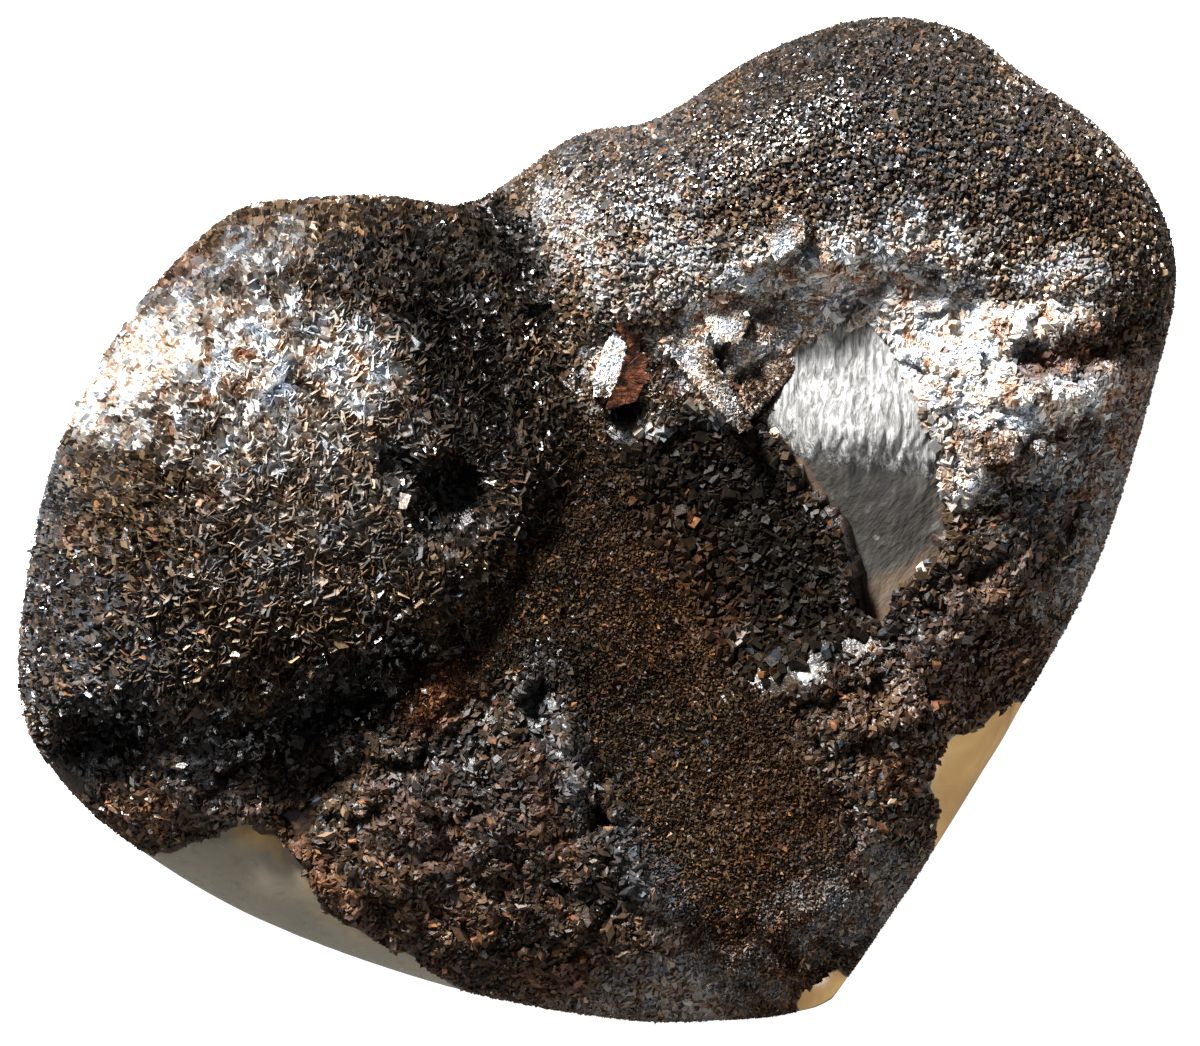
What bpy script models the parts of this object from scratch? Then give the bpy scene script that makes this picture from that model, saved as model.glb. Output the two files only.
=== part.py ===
"""A palm-sized heart ground from one septarian nodule, lying on its back with its natural druse face up.

The sides and the back are ground and polished limestone. The face is left as the nodule's cavity wall was:
two lobes with a cleft between them, under a crust of dark calcite that is broken away in places.
The heart's point is towards -Y, its lobes towards +Y and its face towards +Z. The origin is under the
middle of its outline, on the flat that is ground on its back.
"""

import math

import bmesh
import bpy
import numpy as np
from mathutils import Vector, kdtree, noise

MM = 0.001

# Driving dimensions. The working unit of the form below is the millimetre.
HEART_WIDTH = 123.9
GIRTH_HEIGHT = 17.0
FACE_ROUNDING = 11.0
BACK_ROUNDING = 30.0
GROUND_OFF = 0.6
CRUST_THICKNESS = 2.6
TRIANGLES = 9600

# Where the ground outline passes, anticlockwise from the cleft between the lobes.
OUTLINE = (
    (1.8, 38.7), (-5.5, 43.2), (-13.0, 46.8), (-20.5, 48.8), (-33.8, 44.4), (-46.6, 35.8), (-56.6, 24.0),
    (-61.0, 16.2), (-61.9, 9.4), (-59.2, 0.0), (-51.1, -13.8), (-37.6, -28.8), (-23.2, -40.4), (-12.3, -46.1),
    (-7.4, -47.9), (-4.9, -48.4), (-2.6, -47.8), (10.9, -40.7), (20.4, -35.2), (25.5, -32.1), (39.4, -22.8),
    (52.0, -10.6), (60.2, -0.8), (62.0, 8.0), (60.2, 16.4), (56.2, 24.2), (53.0, 30.6), (45.6, 36.1),
    (34.2, 38.1), (22.0, 37.3), (14.0, 39.6),
)

# Heights of the natural face over the girth, each as x, y and height.
LEFT_LOBE = (
    (-20, 44, 9.5), (-38, 37, 10.5), (-53, 24, 9.5), (-30, 33, 14.5), (-46, 25, 14.0), (-17, 33, 12.5),
    (-36, 22, 17.5), (-24, 22, 16.5), (-50, 13, 13.5), (-36, 11, 17.0), (-23, 11, 15.0), (-8, 38, 8.5),
    (-8, 28, 9.0), (-10, 17, 11.5),
)
RIGHT_LOBE = (
    (11, 37, 9.5), (22, 36, 13.0), (36, 35, 14.0), (49, 28, 13.0), (24, 27, 17.0), (39, 25, 17.5),
    (12, 27, 13.5), (55, 14, 13.0), (45, 15, 15.5), (31, 17, 16.5), (16, 20, 14.0), (52, 6, 12.5),
)
CLEFT_AND_HOLLOW = (
    (2, 37, 5.0), (2, 30, 7.5), (2, 22, 10.0), (2, 12, 12.0), (9, 8, 11.5), (10, -2, 10.0), (13, -10, 11.0),
    (0, 0, 12.5), (-12, 2, 13.0), (-22, 1, 13.0), (-31, -2, 12.5), (-40, -1, 11.5), (-47, 1, 11.5),
    (-55, 2, 10.0),
)
BELOW_THE_LOBES = (
    (24, 8, 13.5), (22, 1, 17.0), (29, -5, 17.5), (37, 5, 15.5), (41, -6, 18.5), (50, -8, 15.5),
    (22, -12, 14.0), (34, -18, 14.5), (44, -14, 13.0), (-22, -9, 15.0), (-33, -12, 14.5), (-43, -9, 12.0),
    (-18, -20, 15.0), (-30, -24, 13.0), (-15, -32, 13.0), (-6, -14, 11.0), (-4, -26, 10.5), (3, -38, 10.5),
    (10, -26, 13.5), (22, -26, 13.5), (-5, -43, 9.0),
)

# Edges over which the two lobes stand up from the hollow between them, anticlockwise, each with the rise
# and the width over which it rises.
LOBE_EDGES = (
    (4.8, 6.5, (
        (-80.0, 12.0), (-62.0, 8.0), (-52.0, 6.0), (-43.0, 3.0), (-36.0, -0.5), (-28.0, -2.5), (-20.0, 0.0),
        (-10.0, 4.0), (-1.0, 10.0), (2.0, 20.0), (2.0, 60.0), (-80.0, 60.0),
    )),
    (2.4, 3.5, (
        (3.0, 60.0), (3.0, 30.0), (4.0, 20.5), (12.0, 17.5), (20.0, 17.0), (27.0, 13.0), (37.0, 10.0),
        (42.0, 4.0), (50.0, 0.5), (59.0, -4.0), (80.0, -4.0), (80.0, 60.0),
    )),
)

# Edges of the patches where the crust is broken off or ground away, anticlockwise.
LIMESTONE_WINDOW = (
    (17.2, 3.0), (17.6, -6.0), (18.0, -9.0), (16.6, -13.0), (16.0, -15.2), (18.0, -17.8), (21.0, -15.1),
    (24.2, -14.8), (27.6, -13.0), (29.2, -9.0), (30.6, -6.0), (31.1, 4.0), (30.6, 9.0), (25.0, 9.6),
    (24.0, 8.0), (21.0, 8.0), (19.0, 6.6), (16.8, 6.0),
)
GROUND_LIMESTONE = (
    (-64.0, -1.0), (-58.5, -2.8), (-55.0, -4.3), (-50.0, -4.8), (-46.0, -5.5), (-44.5, -8.0), (-43.4, -12.0),
    (-43.8, -16.0), (-42.0, -19.5), (-40.0, -23.0), (-38.4, -24.5), (-37.2, -27.6), (-36.0, -30.0),
    (-40.0, -36.0), (-70.0, -20.0),
)
OCHRE_CORNER = (
    (11.5, -41.0), (15.2, -37.0), (15.2, -34.4), (16.6, -32.7), (19.0, -31.2), (21.6, -31.9), (25.6, -31.3),
    (30.0, -36.0), (20.0, -45.0),
)
GROUND_TIP = ((-8.0, -50.0), (-7.4, -47.0), (-5.8, -46.0), (-3.6, -45.6), (-1.8, -46.0), (0.0, -50.0))

# Where the crust is split into plates and where it has grown coarse crystals, anticlockwise.
BROKEN_LEFT = (
    (-62.0, 4.0), (-51.0, 5.5), (-44.0, 2.5), (-37.0, -3.0), (-27.0, -5.0), (-19.0, -3.5), (-13.5, -6.0),
    (-12.5, -20.0), (-14.5, -33.0), (-17.0, -48.0), (-45.0, -38.0), (-64.0, -8.0),
)
BROKEN_RIGHT = (
    (5.5, -20.0), (12.0, -18.5), (17.0, -19.0), (24.0, -16.0), (30.5, -11.0), (31.5, 3.0), (28.0, 12.5),
    (20.0, 18.5), (26.0, 22.0), (36.0, 15.0), (42.0, 5.0), (50.0, 0.5), (60.0, -3.0), (62.0, -16.0),
    (30.0, -38.0), (2.0, -50.0), (5.0, -34.0),
)
COARSE_HOLLOW = ((3.0, -16.0), (17.5, -17.0), (17.5, 4.0), (13.0, 9.5), (5.0, 10.0), (2.0, 4.0))

# Hollows in the crust, each as x, y, radius and depth.
PITS = (
    (-13.8, 13.2, 4.0, 5.2), (-17.0, 19.0, 2.2, 2.0), (-55.6, 8.6, 4.2, 4.4), (-50.4, 9.8, 2.4, 1.6),
    (5.4, 12.8, 1.8, 3.6), (11.0, 14.4, 1.9, 4.0), (10.9, 17.0, 1.3, 2.8), (18.0, 8.4, 1.7, 2.6),
    (22.4, 9.6, 2.0, 2.8), (22.4, 14.2, 2.3, 2.4), (15.9, 12.8, 1.3, 2.2), (4.2, 32.6, 2.4, 2.0),
    (46.6, -1.6, 2.6, 2.6), (42.6, -0.8, 2.2, 2.2), (51.0, -3.0, 1.8, 1.6), (-36.0, 1.2, 3.4, 2.4),
    (-30.6, 1.8, 3.0, 2.0), (-25.0, 2.8, 2.6, 1.2),
)

# Fragments and ridges that stand up from the crust, each as x, y, half length, half width, turn and rise.
RIDGES = (
    (6.2, 17.6, 3.4, 1.9, 42, 3.6), (13.2, 13.4, 4.6, 1.1, 104, 2.6), (17.4, 17.0, 3.2, 2.2, 8, 1.4),
    (19.0, 12.6, 3.4, 1.3, 14, 2.4), (22.8, 19.2, 1.4, 3.6, -6, 1.6), (27.6, 20.6, 2.2, 1.4, 30, 1.2),
    (44.6, 2.0, 6.0, 1.6, -24, 1.2), (47.4, -6.0, 5.6, 1.8, -12, 1.0), (-40.0, 5.0, 6.6, 1.6, -14, 1.4),
    (-47.2, 1.2, 2.0, 4.8, -18, 1.4), (-42.4, -16.6, 1.4, 6.4, 16, 1.2), (-15.6, -15.6, 1.6, 7.4, -16, 1.6),
    (-28.0, -3.2, 6.0, 1.6, 4, 1.2), (9.4, -18.4, 2.6, 1.8, 0, 1.2), (-13.8, -29.0, 1.6, 5.4, 8, 1.2),
    (24.0, -21.0, 4.6, 2.0, 18, 1.0),
)


def smooth_step(share):
    """0 below 0, 1 above 1 and a smooth rise between."""
    held = np.clip(share, 0, 1)
    return held * held * (3 - 2 * held)


def closed_curve(anchors, steps):
    """Points on a smooth closed curve through the anchors, with this many steps between two."""
    ring = np.array(anchors, float)
    before, after, beyond = (np.roll(ring, shift, axis=0) for shift in (1, -1, -2))
    points = []
    for step in range(steps):
        t = step / steps
        points.append(
            0.5 * (2 * ring + (after - before) * t
                   + (2 * before - 5 * ring + 4 * after - beyond) * t**2
                   + (3 * ring - before - 3 * after + beyond) * t**3)
        )
    return np.stack(points, axis=1).reshape(-1, 2)


def centred_outline():
    """The ground outline, with the middle of its box at the origin and its width as driven."""
    curve = closed_curve(OUTLINE, 32)
    middle = (curve.min(axis=0) + curve.max(axis=0)) / 2
    return (curve - middle) * (HEART_WIDTH / np.ptp(curve[:, 0]))


def reach(outline, angle):
    """How far the outline is from the origin at each angle."""
    turn = np.arctan2(outline[:, 1], outline[:, 0])
    order = np.argsort(turn)
    return np.interp(angle, turn[order], np.hypot(*outline.T)[order], period=2 * math.pi)


def inset(outline, x, y):
    """How far each point is from the outline, rounded off where two sides are about as near."""
    blur = 1.0
    ends = np.roll(outline, -1, axis=0)
    length = np.hypot(*(ends - outline).T)
    middle = (outline + ends) / 2
    pull = np.zeros(x.shape)
    for (mx, my), step in zip(middle, length):
        pull += step / ((x - mx)**2 + (y - my)**2 + blur**2)**2
    return np.sqrt(np.maximum((2 / math.pi * pull)**(-2 / 3) - blur**2, 0))


def depth_in(polygon, x, y):
    """How deep each point is inside the polygon, negative outside it."""
    nearest = np.full(x.shape, np.inf)
    inside = np.zeros(x.shape, bool)
    corners = np.array(polygon, float)
    for (ax, ay), (bx, by) in zip(corners, np.roll(corners, -1, axis=0)):
        along = np.clip(((x - ax) * (bx - ax) + (y - ay) * (by - ay)) / ((bx - ax)**2 + (by - ay)**2), 0, 1)
        nearest = np.minimum(nearest, np.hypot(x - ax - along * (bx - ax), y - ay - along * (by - ay)))
        if ay != by:
            inside ^= ((ay > y) != (by > y)) & (x < (bx - ax) * (y - ay) / (by - ay) + ax)
    return np.where(inside, nearest, -nearest)


def natural_height(x, y):
    """The smoothest face that passes through every height given, as a thin plate would."""
    stations = np.array(LEFT_LOBE + RIGHT_LOBE + CLEFT_AND_HOLLOW + BELOW_THE_LOBES, float)

    def bending(distance):
        return distance**2 * np.log(np.maximum(distance, 1e-9))

    count = len(stations)
    system = np.zeros((count + 3, count + 3))
    gaps = stations[:, None, :2] - stations[None, :, :2]
    plane = np.column_stack([np.ones(count), stations[:, :2]])
    system[:count, :count] = bending(np.hypot(gaps[..., 0], gaps[..., 1]))
    system[:count, count:] = plane
    system[count:, :count] = plane.T
    weights = np.linalg.solve(system, np.append(stations[:, 2], (0, 0, 0)))
    height = weights[count] + weights[count + 1] * x + weights[count + 2] * y
    for weight, (sx, sy, _) in zip(weights, stations):
        height += weight * bending(np.hypot(x - sx, y - sy))
    return height


def lumps(x, y, seed, scale):
    """Seeded smooth noise from -1 to 1 over the face, whose lumps are about this far apart."""
    return np.array([noise.noise(Vector((px / scale, py / scale, seed))) for px, py in zip(x, y)])


def cells(x, y, seed, spacing):
    """For each point the nearest of many scattered centres, with how far along x and y it is from that one."""
    random = np.random.default_rng(seed)
    lines = np.arange(-70, 70, spacing)
    centres = np.stack(np.meshgrid(lines, lines), axis=-1).reshape(-1, 2)
    centres += random.uniform(-0.5, 0.5, centres.shape) * spacing
    tree = kdtree.KDTree(len(centres))
    for index, (cx, cy) in enumerate(centres):
        tree.insert((cx, cy, 0), index)
    tree.balance()
    nearest = np.array([tree.find((px, py, 0))[1] for px, py in zip(x, y)])
    return nearest, np.stack([x, y], axis=-1) - centres[nearest], random.uniform(-1, 1, (len(centres), 3))


def plates(x, y, seed, spacing, lean):
    """Height of flat plates about this far across, each lying at its own level and leaning its own way."""
    nearest, away, chance = cells(x, y, seed, spacing)
    tilt = chance[nearest]
    return lean * (0.5 * spacing * tilt[:, 0] + (tilt[:, 1:] * away).sum(axis=1))


def points_of_crystals(x, y, seed, spacing, slope):
    """Height of blunt crystal points about this far apart, some of them taller."""
    nearest, away, chance = cells(x, y, seed, spacing)
    peak = 0.5 * spacing * (1 + 0.6 * chance[nearest, 0])
    return slope * np.maximum(peak - np.hypot(*away.T), -0.2 * spacing)


def face_height(outline, x, y):
    """Height of the face over the girth: the lobes under their crust, its broken patches, pits and ridges."""
    ragged = 0.5 * lumps(x, y, 3.1, 2.6)

    def cover(patches, edge):
        deepest = np.max([depth_in(patch, x, y) for patch in patches], axis=0)
        return smooth_step((deepest + ragged) / edge + 0.5)

    window = cover([LIMESTONE_WINDOW], 0.8)
    ground = cover([GROUND_LIMESTONE, OCHRE_CORNER, GROUND_TIP], 0.8)
    crust = 1 - np.maximum(window, ground)
    broken = cover([BROKEN_LEFT, BROKEN_RIGHT], 3.0) * crust
    coarse = cover([COARSE_HOLLOW], 3.0) * crust
    height = natural_height(x, y) + CRUST_THICKNESS * (crust - 1)
    for rise, width, edge in LOBE_EDGES:
        height += rise * smooth_step(depth_in(edge, x, y) / width)
    height += (0.8 * lumps(x, y, 7.7, 9.0) + 0.6 * lumps(x, y, 1.3, 4.0)) * crust
    height += points_of_crystals(x, y, 21, 2.5, 0.50) * crust * (1 - 0.6 * broken)
    height += points_of_crystals(x, y, 22, 3.4, 0.35) * coarse
    height += plates(x, y, 11, 4.6, 0.26) * broken + plates(x, y, 12, 2.8, 0.16) * broken
    for px, py, radius, depth in PITS:
        height -= depth * np.exp(-(np.hypot(x - px, y - py) / radius)**4)
    for kx, ky, long, wide, turn, rise in RIDGES:
        c, s = math.cos(math.radians(turn)), math.sin(math.radians(turn))
        u, v = (x - kx) * c + (y - ky) * s, (y - ky) * c - (x - kx) * s
        height += rise * np.exp(-(u / long)**4 - (v / wide)**4)
    return height * np.sqrt(1 - (1 - np.clip(inset(outline, x, y) / FACE_ROUNDING, 0, 1))**2)


def back_height(outline, x, y):
    """Height of the polished back, which bulges a little below zero where it is ground flat afterwards."""
    share = np.clip(inset(outline, x, y) / BACK_ROUNDING, 0, 1)
    return GIRTH_HEIGHT - (GIRTH_HEIGHT + GROUND_OFF) * np.sqrt(1 - (1 - share)**2)


def shape_heart(mesh):
    """Moves a unit ball's points onto the heart: its upper half is the face, and its lower half the back."""
    ball = np.empty(len(mesh.vertices) * 3, np.float32)
    mesh.vertices.foreach_get("co", ball)
    ball = ball.reshape(-1, 3).astype(float)
    outline = centred_outline()
    angle = np.arctan2(ball[:, 1], ball[:, 0])
    out = np.clip(np.hypot(ball[:, 0], ball[:, 1]), 0, 1) * reach(outline, angle)
    x, y = out * np.cos(angle), out * np.sin(angle)
    face = ball[:, 2] > 1e-6
    height = np.full(x.shape, GIRTH_HEIGHT)
    height[face] += face_height(outline, x[face], y[face])
    back = ball[:, 2] < -1e-6
    height[back] = back_height(outline, x[back], y[back])
    mesh.vertices.foreach_set("co", (np.column_stack([x, y, height]) * MM).ravel().astype(np.float32))
    mesh.update()


def thinned(mesh, triangles):
    """The mesh with this many triangles, which stay close together only where it is rough."""
    dense = bpy.data.objects.new("dense", mesh)
    bpy.context.scene.collection.objects.link(dense)
    dense.modifiers.new("Thin", "DECIMATE").ratio = triangles / len(mesh.polygons)
    evaluated = dense.evaluated_get(bpy.context.evaluated_depsgraph_get())
    thin = bpy.data.meshes.new_from_object(evaluated)
    bpy.data.objects.remove(dense)
    return thin


def grind_flat(mesh):
    """Cuts the bulge off the back at height zero, and puts the middle of the outline's box over the origin."""
    stone = bmesh.new()
    stone.from_mesh(mesh)
    everything = stone.verts[:] + stone.edges[:] + stone.faces[:]
    bmesh.ops.bisect_plane(
        stone, geom=everything, dist=1e-7, plane_co=(0, 0, 0), plane_no=(0, 0, -1), clear_outer=True
    )
    bmesh.ops.holes_fill(stone, edges=[edge for edge in stone.edges if edge.is_boundary])
    points = np.array([vert.co for vert in stone.verts])
    middle = (points.min(axis=0) + points.max(axis=0)) / 2
    bmesh.ops.translate(stone, vec=(-middle[0], -middle[1], 0), verts=stone.verts)
    bmesh.ops.recalc_face_normals(stone, faces=stone.faces)
    stone.to_mesh(mesh)
    stone.free()


def stone_material():
    material = bpy.data.materials.new("septarian_stone")
    material.use_nodes = True
    shader = material.node_tree.nodes["Principled BSDF"]
    shader.inputs["Base Color"].default_value = (0.055, 0.038, 0.027, 1)
    shader.inputs["Roughness"].default_value = 0.42
    shader.inputs["Metallic"].default_value = 0.0
    return material


def make_heart(collection):
    """One stone: a ball shaped to the heart, thinned, and ground flat where it lies."""
    ball = bmesh.new()
    bmesh.ops.create_icosphere(ball, subdivisions=7, radius=1)
    dense = bpy.data.meshes.new("dense")
    ball.to_mesh(dense)
    ball.free()
    shape_heart(dense)
    mesh = thinned(dense, TRIANGLES)
    bpy.data.meshes.remove(dense)
    mesh.name = "septarian_heart"
    grind_flat(mesh)
    mesh.shade_smooth()
    mesh.set_sharp_from_angle(angle=math.radians(40))
    mesh.materials.append(stone_material())
    heart = bpy.data.objects.new("septarian_heart", mesh)
    collection.objects.link(heart)


for old in list(bpy.data.objects):
    bpy.data.objects.remove(old)
parts = bpy.data.collections.new("Septarian heart")
bpy.context.scene.collection.children.link(parts)
make_heart(parts)
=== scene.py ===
import math

import bmesh
import bpy
import numpy as np
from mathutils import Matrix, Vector, kdtree, noise


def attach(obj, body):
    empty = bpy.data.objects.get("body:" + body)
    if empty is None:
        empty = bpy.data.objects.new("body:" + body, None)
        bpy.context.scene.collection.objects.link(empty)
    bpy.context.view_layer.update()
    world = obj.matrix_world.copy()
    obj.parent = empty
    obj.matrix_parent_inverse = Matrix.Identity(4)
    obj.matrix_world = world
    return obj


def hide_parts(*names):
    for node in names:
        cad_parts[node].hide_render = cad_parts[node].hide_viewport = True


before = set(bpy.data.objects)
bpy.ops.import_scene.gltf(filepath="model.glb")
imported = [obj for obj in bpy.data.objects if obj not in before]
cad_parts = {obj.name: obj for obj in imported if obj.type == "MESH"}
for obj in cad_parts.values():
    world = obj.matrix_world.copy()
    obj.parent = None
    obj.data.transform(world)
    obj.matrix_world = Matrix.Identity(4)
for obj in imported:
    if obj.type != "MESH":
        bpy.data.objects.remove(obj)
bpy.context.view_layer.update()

# The limestone.
# Fine grey limestone of a septarian nodule, ground to a heart and polished round its sides and back.
# Its face is the wall of a crack inside the nodule, and shows only where the crust on it is gone.

MM = 0.001
HEART_WIDTH = 123.9
GIRTH_HEIGHT = 17.0
FACE_ROUNDING = 11.0
BACK_ROUNDING = 30.0
GROUND_OFF = 0.6
CRUST_THICKNESS = 2.6
SWELL_HEIGHT = 0.8

# Where the ground outline passes, anticlockwise from the cleft between the lobes, in millimetres.
OUTLINE = (
    (1.8, 38.7), (-5.5, 43.2), (-13.0, 46.8), (-20.5, 48.8), (-33.8, 44.4), (-46.6, 35.8), (-56.6, 24.0),
    (-61.0, 16.2), (-61.9, 9.4), (-59.2, 0.0), (-51.1, -13.8), (-37.6, -28.8), (-23.2, -40.4), (-12.3, -46.1),
    (-7.4, -47.9), (-4.9, -48.4), (-2.6, -47.8), (10.9, -40.7), (20.4, -35.2), (25.5, -32.1), (39.4, -22.8),
    (52.0, -10.6), (60.2, -0.8), (62.0, 8.0), (60.2, 16.4), (56.2, 24.2), (53.0, 30.6), (45.6, 36.1),
    (34.2, 38.1), (22.0, 37.3), (14.0, 39.6),
)

# Heights of the natural face over the girth, each as x, y and height.
HEIGHTS = (
    (-20, 44, 9.5), (-38, 37, 10.5), (-53, 24, 9.5), (-30, 33, 14.5), (-46, 25, 14.0), (-17, 33, 12.5),
    (-36, 22, 17.5), (-24, 22, 16.5), (-50, 13, 13.5), (-36, 11, 17.0), (-23, 11, 15.0), (-8, 38, 8.5),
    (-8, 28, 9.0), (-10, 17, 11.5),
    (11, 37, 9.5), (22, 36, 13.0), (36, 35, 14.0), (49, 28, 13.0), (24, 27, 17.0), (39, 25, 17.5),
    (12, 27, 13.5), (55, 14, 13.0), (45, 15, 15.5), (31, 17, 16.5), (16, 20, 14.0), (52, 6, 12.5),
    (2, 37, 5.0), (2, 30, 7.5), (2, 22, 10.0), (2, 12, 12.0), (9, 8, 11.5), (10, -2, 10.0), (13, -10, 11.0),
    (0, 0, 12.5), (-12, 2, 13.0), (-22, 1, 13.0), (-31, -2, 12.5), (-40, -1, 11.5), (-47, 1, 11.5),
    (-55, 2, 10.0),
    (24, 8, 13.5), (22, 1, 17.0), (29, -5, 17.5), (37, 5, 15.5), (41, -6, 18.5), (50, -8, 15.5),
    (22, -12, 14.0), (34, -18, 14.5), (44, -14, 13.0), (-22, -9, 15.0), (-33, -12, 14.5), (-43, -9, 12.0),
    (-18, -20, 15.0), (-30, -24, 13.0), (-15, -32, 13.0), (-6, -14, 11.0), (-4, -26, 10.5), (3, -38, 10.5),
    (10, -26, 13.5), (22, -26, 13.5), (-5, -43, 9.0),
)

# Edges over which the lobes stand up from the hollow, each with the rise and the width over which it rises.
LOBE_EDGES = (
    (4.8, 6.5, (
        (-80.0, 12.0), (-62.0, 8.0), (-52.0, 6.0), (-43.0, 3.0), (-36.0, -0.5), (-28.0, -2.5), (-20.0, 0.0),
        (-10.0, 4.0), (-1.0, 10.0), (2.0, 20.0), (2.0, 60.0), (-80.0, 60.0),
    )),
    (2.4, 3.5, (
        (3.0, 60.0), (3.0, 30.0), (4.0, 20.5), (12.0, 17.5), (20.0, 17.0), (27.0, 13.0), (37.0, 10.0),
        (42.0, 4.0), (50.0, 0.5), (59.0, -4.0), (80.0, -4.0), (80.0, 60.0),
    )),
)

# Edges of the patches where the crust is broken off or ground away, anticlockwise.
LIMESTONE_WINDOW = (
    (17.2, 3.0), (17.6, -6.0), (18.0, -9.0), (16.6, -13.0), (16.0, -15.2), (18.0, -17.8), (21.0, -15.1),
    (24.2, -14.8), (27.6, -13.0), (29.2, -9.0), (30.6, -6.0), (31.1, 4.0), (30.6, 9.0), (27.4, 10.4),
    (25.0, 10.2), (23.4, 10.6), (22.2, 9.6), (21.0, 8.0), (19.0, 6.8), (16.8, 6.0),
)
GROUND_LIMESTONE = (
    (-64.0, -1.0), (-58.5, -2.8), (-55.0, -4.3), (-50.0, -4.8), (-46.0, -5.5), (-44.5, -8.0), (-43.4, -12.0),
    (-43.8, -16.0), (-42.0, -19.5), (-40.0, -23.0), (-38.4, -24.5), (-37.2, -27.6), (-36.0, -30.0),
    (-40.0, -36.0), (-70.0, -20.0),
)
OCHRE_CORNER = (
    (11.0, -40.6), (14.4, -36.6), (14.4, -33.9), (16.0, -31.9), (18.6, -30.4), (21.4, -31.0), (26.0, -30.2),
    (31.0, -36.0), (20.0, -45.0),
)
GROUND_TIP = ((-8.0, -50.0), (-7.4, -47.0), (-5.8, -46.0), (-3.6, -45.6), (-1.8, -46.0), (0.0, -50.0))
BARE_PATCHES = (LIMESTONE_WINDOW, GROUND_LIMESTONE, OCHRE_CORNER, GROUND_TIP)

# How far under the crust's edge the limestone steps down to its bare level, and how wide that step is.
STEP_UNDER_EDGE = 1.2
STEP_WIDTH = 0.8

# The crease across the window: how steeply it falls to the right, and a place on it.
CREASE_FALL = 0.75
CREASE_X, CREASE_Y = 24, -1.5

# The direction in which the window's ridges run.
RIDGE_RUN_X, RIDGE_RUN_Y = 0.469, 0.883

# Where the coarsest crystals grew, and how much deeper the face lies there.
COARSE_HOLLOW = ((3.0, -16.0), (17.5, -17.0), (17.5, 4.0), (13.0, 9.5), (5.0, 10.0), (2.0, 4.0))
HOLLOW_DEPTH = 1.6

# Hollows in the face, each as x, y, radius and depth.
PITS = (
    (3.2, 37.0, 1.7, 1.4), (3.6, 29.2, 1.9, 2.0), (2.6, 25.4, 1.7, 1.5), (-13.8, 13.2, 4.5, 5.4),
    (-17.0, 19.0, 2.2, 2.0), (-55.6, 8.6, 4.2, 4.4), (-50.4, 9.8, 2.4, 1.6),
    (5.4, 12.8, 1.8, 3.6), (11.0, 14.4, 1.8, 0.4), (18.0, 8.4, 1.7, 0.6),
    (15.9, 12.8, 1.3, 0.9), (4.2, 32.6, 2.4, 2.0),
    (46.7, -3.4, 2.7, 2.0), (42.6, -2.0, 2.2, 1.5), (50.6, -4.2, 2.2, 1.6), (-36.0, 1.2, 3.4, 2.4),
    (-30.6, 1.8, 3.0, 2.0), (-25.0, 2.8, 2.6, 1.2),
)


def smooth_step(share):
    """0 below 0, 1 above 1 and a smooth rise between."""
    held = np.clip(share, 0, 1)
    return held * held * (3 - 2 * held)


def closed_curve(anchors, steps):
    """Points on a smooth closed curve through the anchors, with this many steps between two."""
    ring = np.array(anchors, float)
    before, after, beyond = (np.roll(ring, shift, axis=0) for shift in (1, -1, -2))
    points = []
    for step in range(steps):
        t = step / steps
        points.append(
            0.5 * (2 * ring + (after - before) * t
                   + (2 * before - 5 * ring + 4 * after - beyond) * t**2
                   + (3 * ring - before - 3 * after + beyond) * t**3)
        )
    return np.stack(points, axis=1).reshape(-1, 2)


def centred_outline():
    """The ground outline, with the middle of its box at the origin and its width as driven."""
    curve = closed_curve(OUTLINE, 32)
    middle = (curve.min(axis=0) + curve.max(axis=0)) / 2
    return (curve - middle) * (HEART_WIDTH / np.ptp(curve[:, 0]))


outline = centred_outline()


def reach(angle):
    """How far the outline is from the origin at each angle."""
    turn = np.arctan2(outline[:, 1], outline[:, 0])
    order = np.argsort(turn)
    return np.interp(angle, turn[order], np.hypot(*outline.T)[order], period=2 * math.pi)


def inset(x, y):
    """How far each point is from the outline, rounded off where two sides are about as near."""
    blur = 1.0
    ends = np.roll(outline, -1, axis=0)
    length = np.hypot(*(ends - outline).T)
    middle = (outline + ends) / 2
    pull = np.zeros(x.shape)
    for (mx, my), step in zip(middle, length):
        pull += step / ((x - mx)**2 + (y - my)**2 + blur**2)**2
    return np.sqrt(np.maximum((2 / math.pi * pull)**(-2 / 3) - blur**2, 0))


def depth_in(polygon, x, y):
    """How deep each point is inside the polygon, negative outside it."""
    nearest = np.full(x.shape, np.inf)
    inside = np.zeros(x.shape, bool)
    corners = np.array(polygon, float)
    for (ax, ay), (bx, by) in zip(corners, np.roll(corners, -1, axis=0)):
        along = np.clip(((x - ax) * (bx - ax) + (y - ay) * (by - ay)) / ((bx - ax)**2 + (by - ay)**2), 0, 1)
        nearest = np.minimum(nearest, np.hypot(x - ax - along * (bx - ax), y - ay - along * (by - ay)))
        if ay != by:
            inside ^= ((ay > y) != (by > y)) & (x < (bx - ax) * (y - ay) / (by - ay) + ax)
    return np.where(inside, nearest, -nearest)


def deepest_in(polygons, x, y):
    return np.max([depth_in(polygon, x, y) for polygon in polygons], axis=0)


def lumps(x, y, seed, scale):
    """Seeded smooth noise from -1 to 1 over the face, whose lumps are about this far apart."""
    return np.array([noise.noise(Vector((px / scale, py / scale, seed))) for px, py in zip(x, y)])


def bareness(x, y):
    """How deep each point is in a bare patch, negative outside it, with the patches' edges made ragged."""
    depth = deepest_in(BARE_PATCHES, x, y) + 0.9 * lumps(x, y, seed=3.1, scale=2.6)
    return depth + 0.5 * lumps(x, y, seed=8.4, scale=1.1)


def pit_share(x, y):
    """1 in the middle of a pit, and 0 away from all of them."""
    return np.max([np.exp(-(np.hypot(x - px, y - py) / radius)**4) for px, py, radius, _ in PITS], axis=0)


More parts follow.
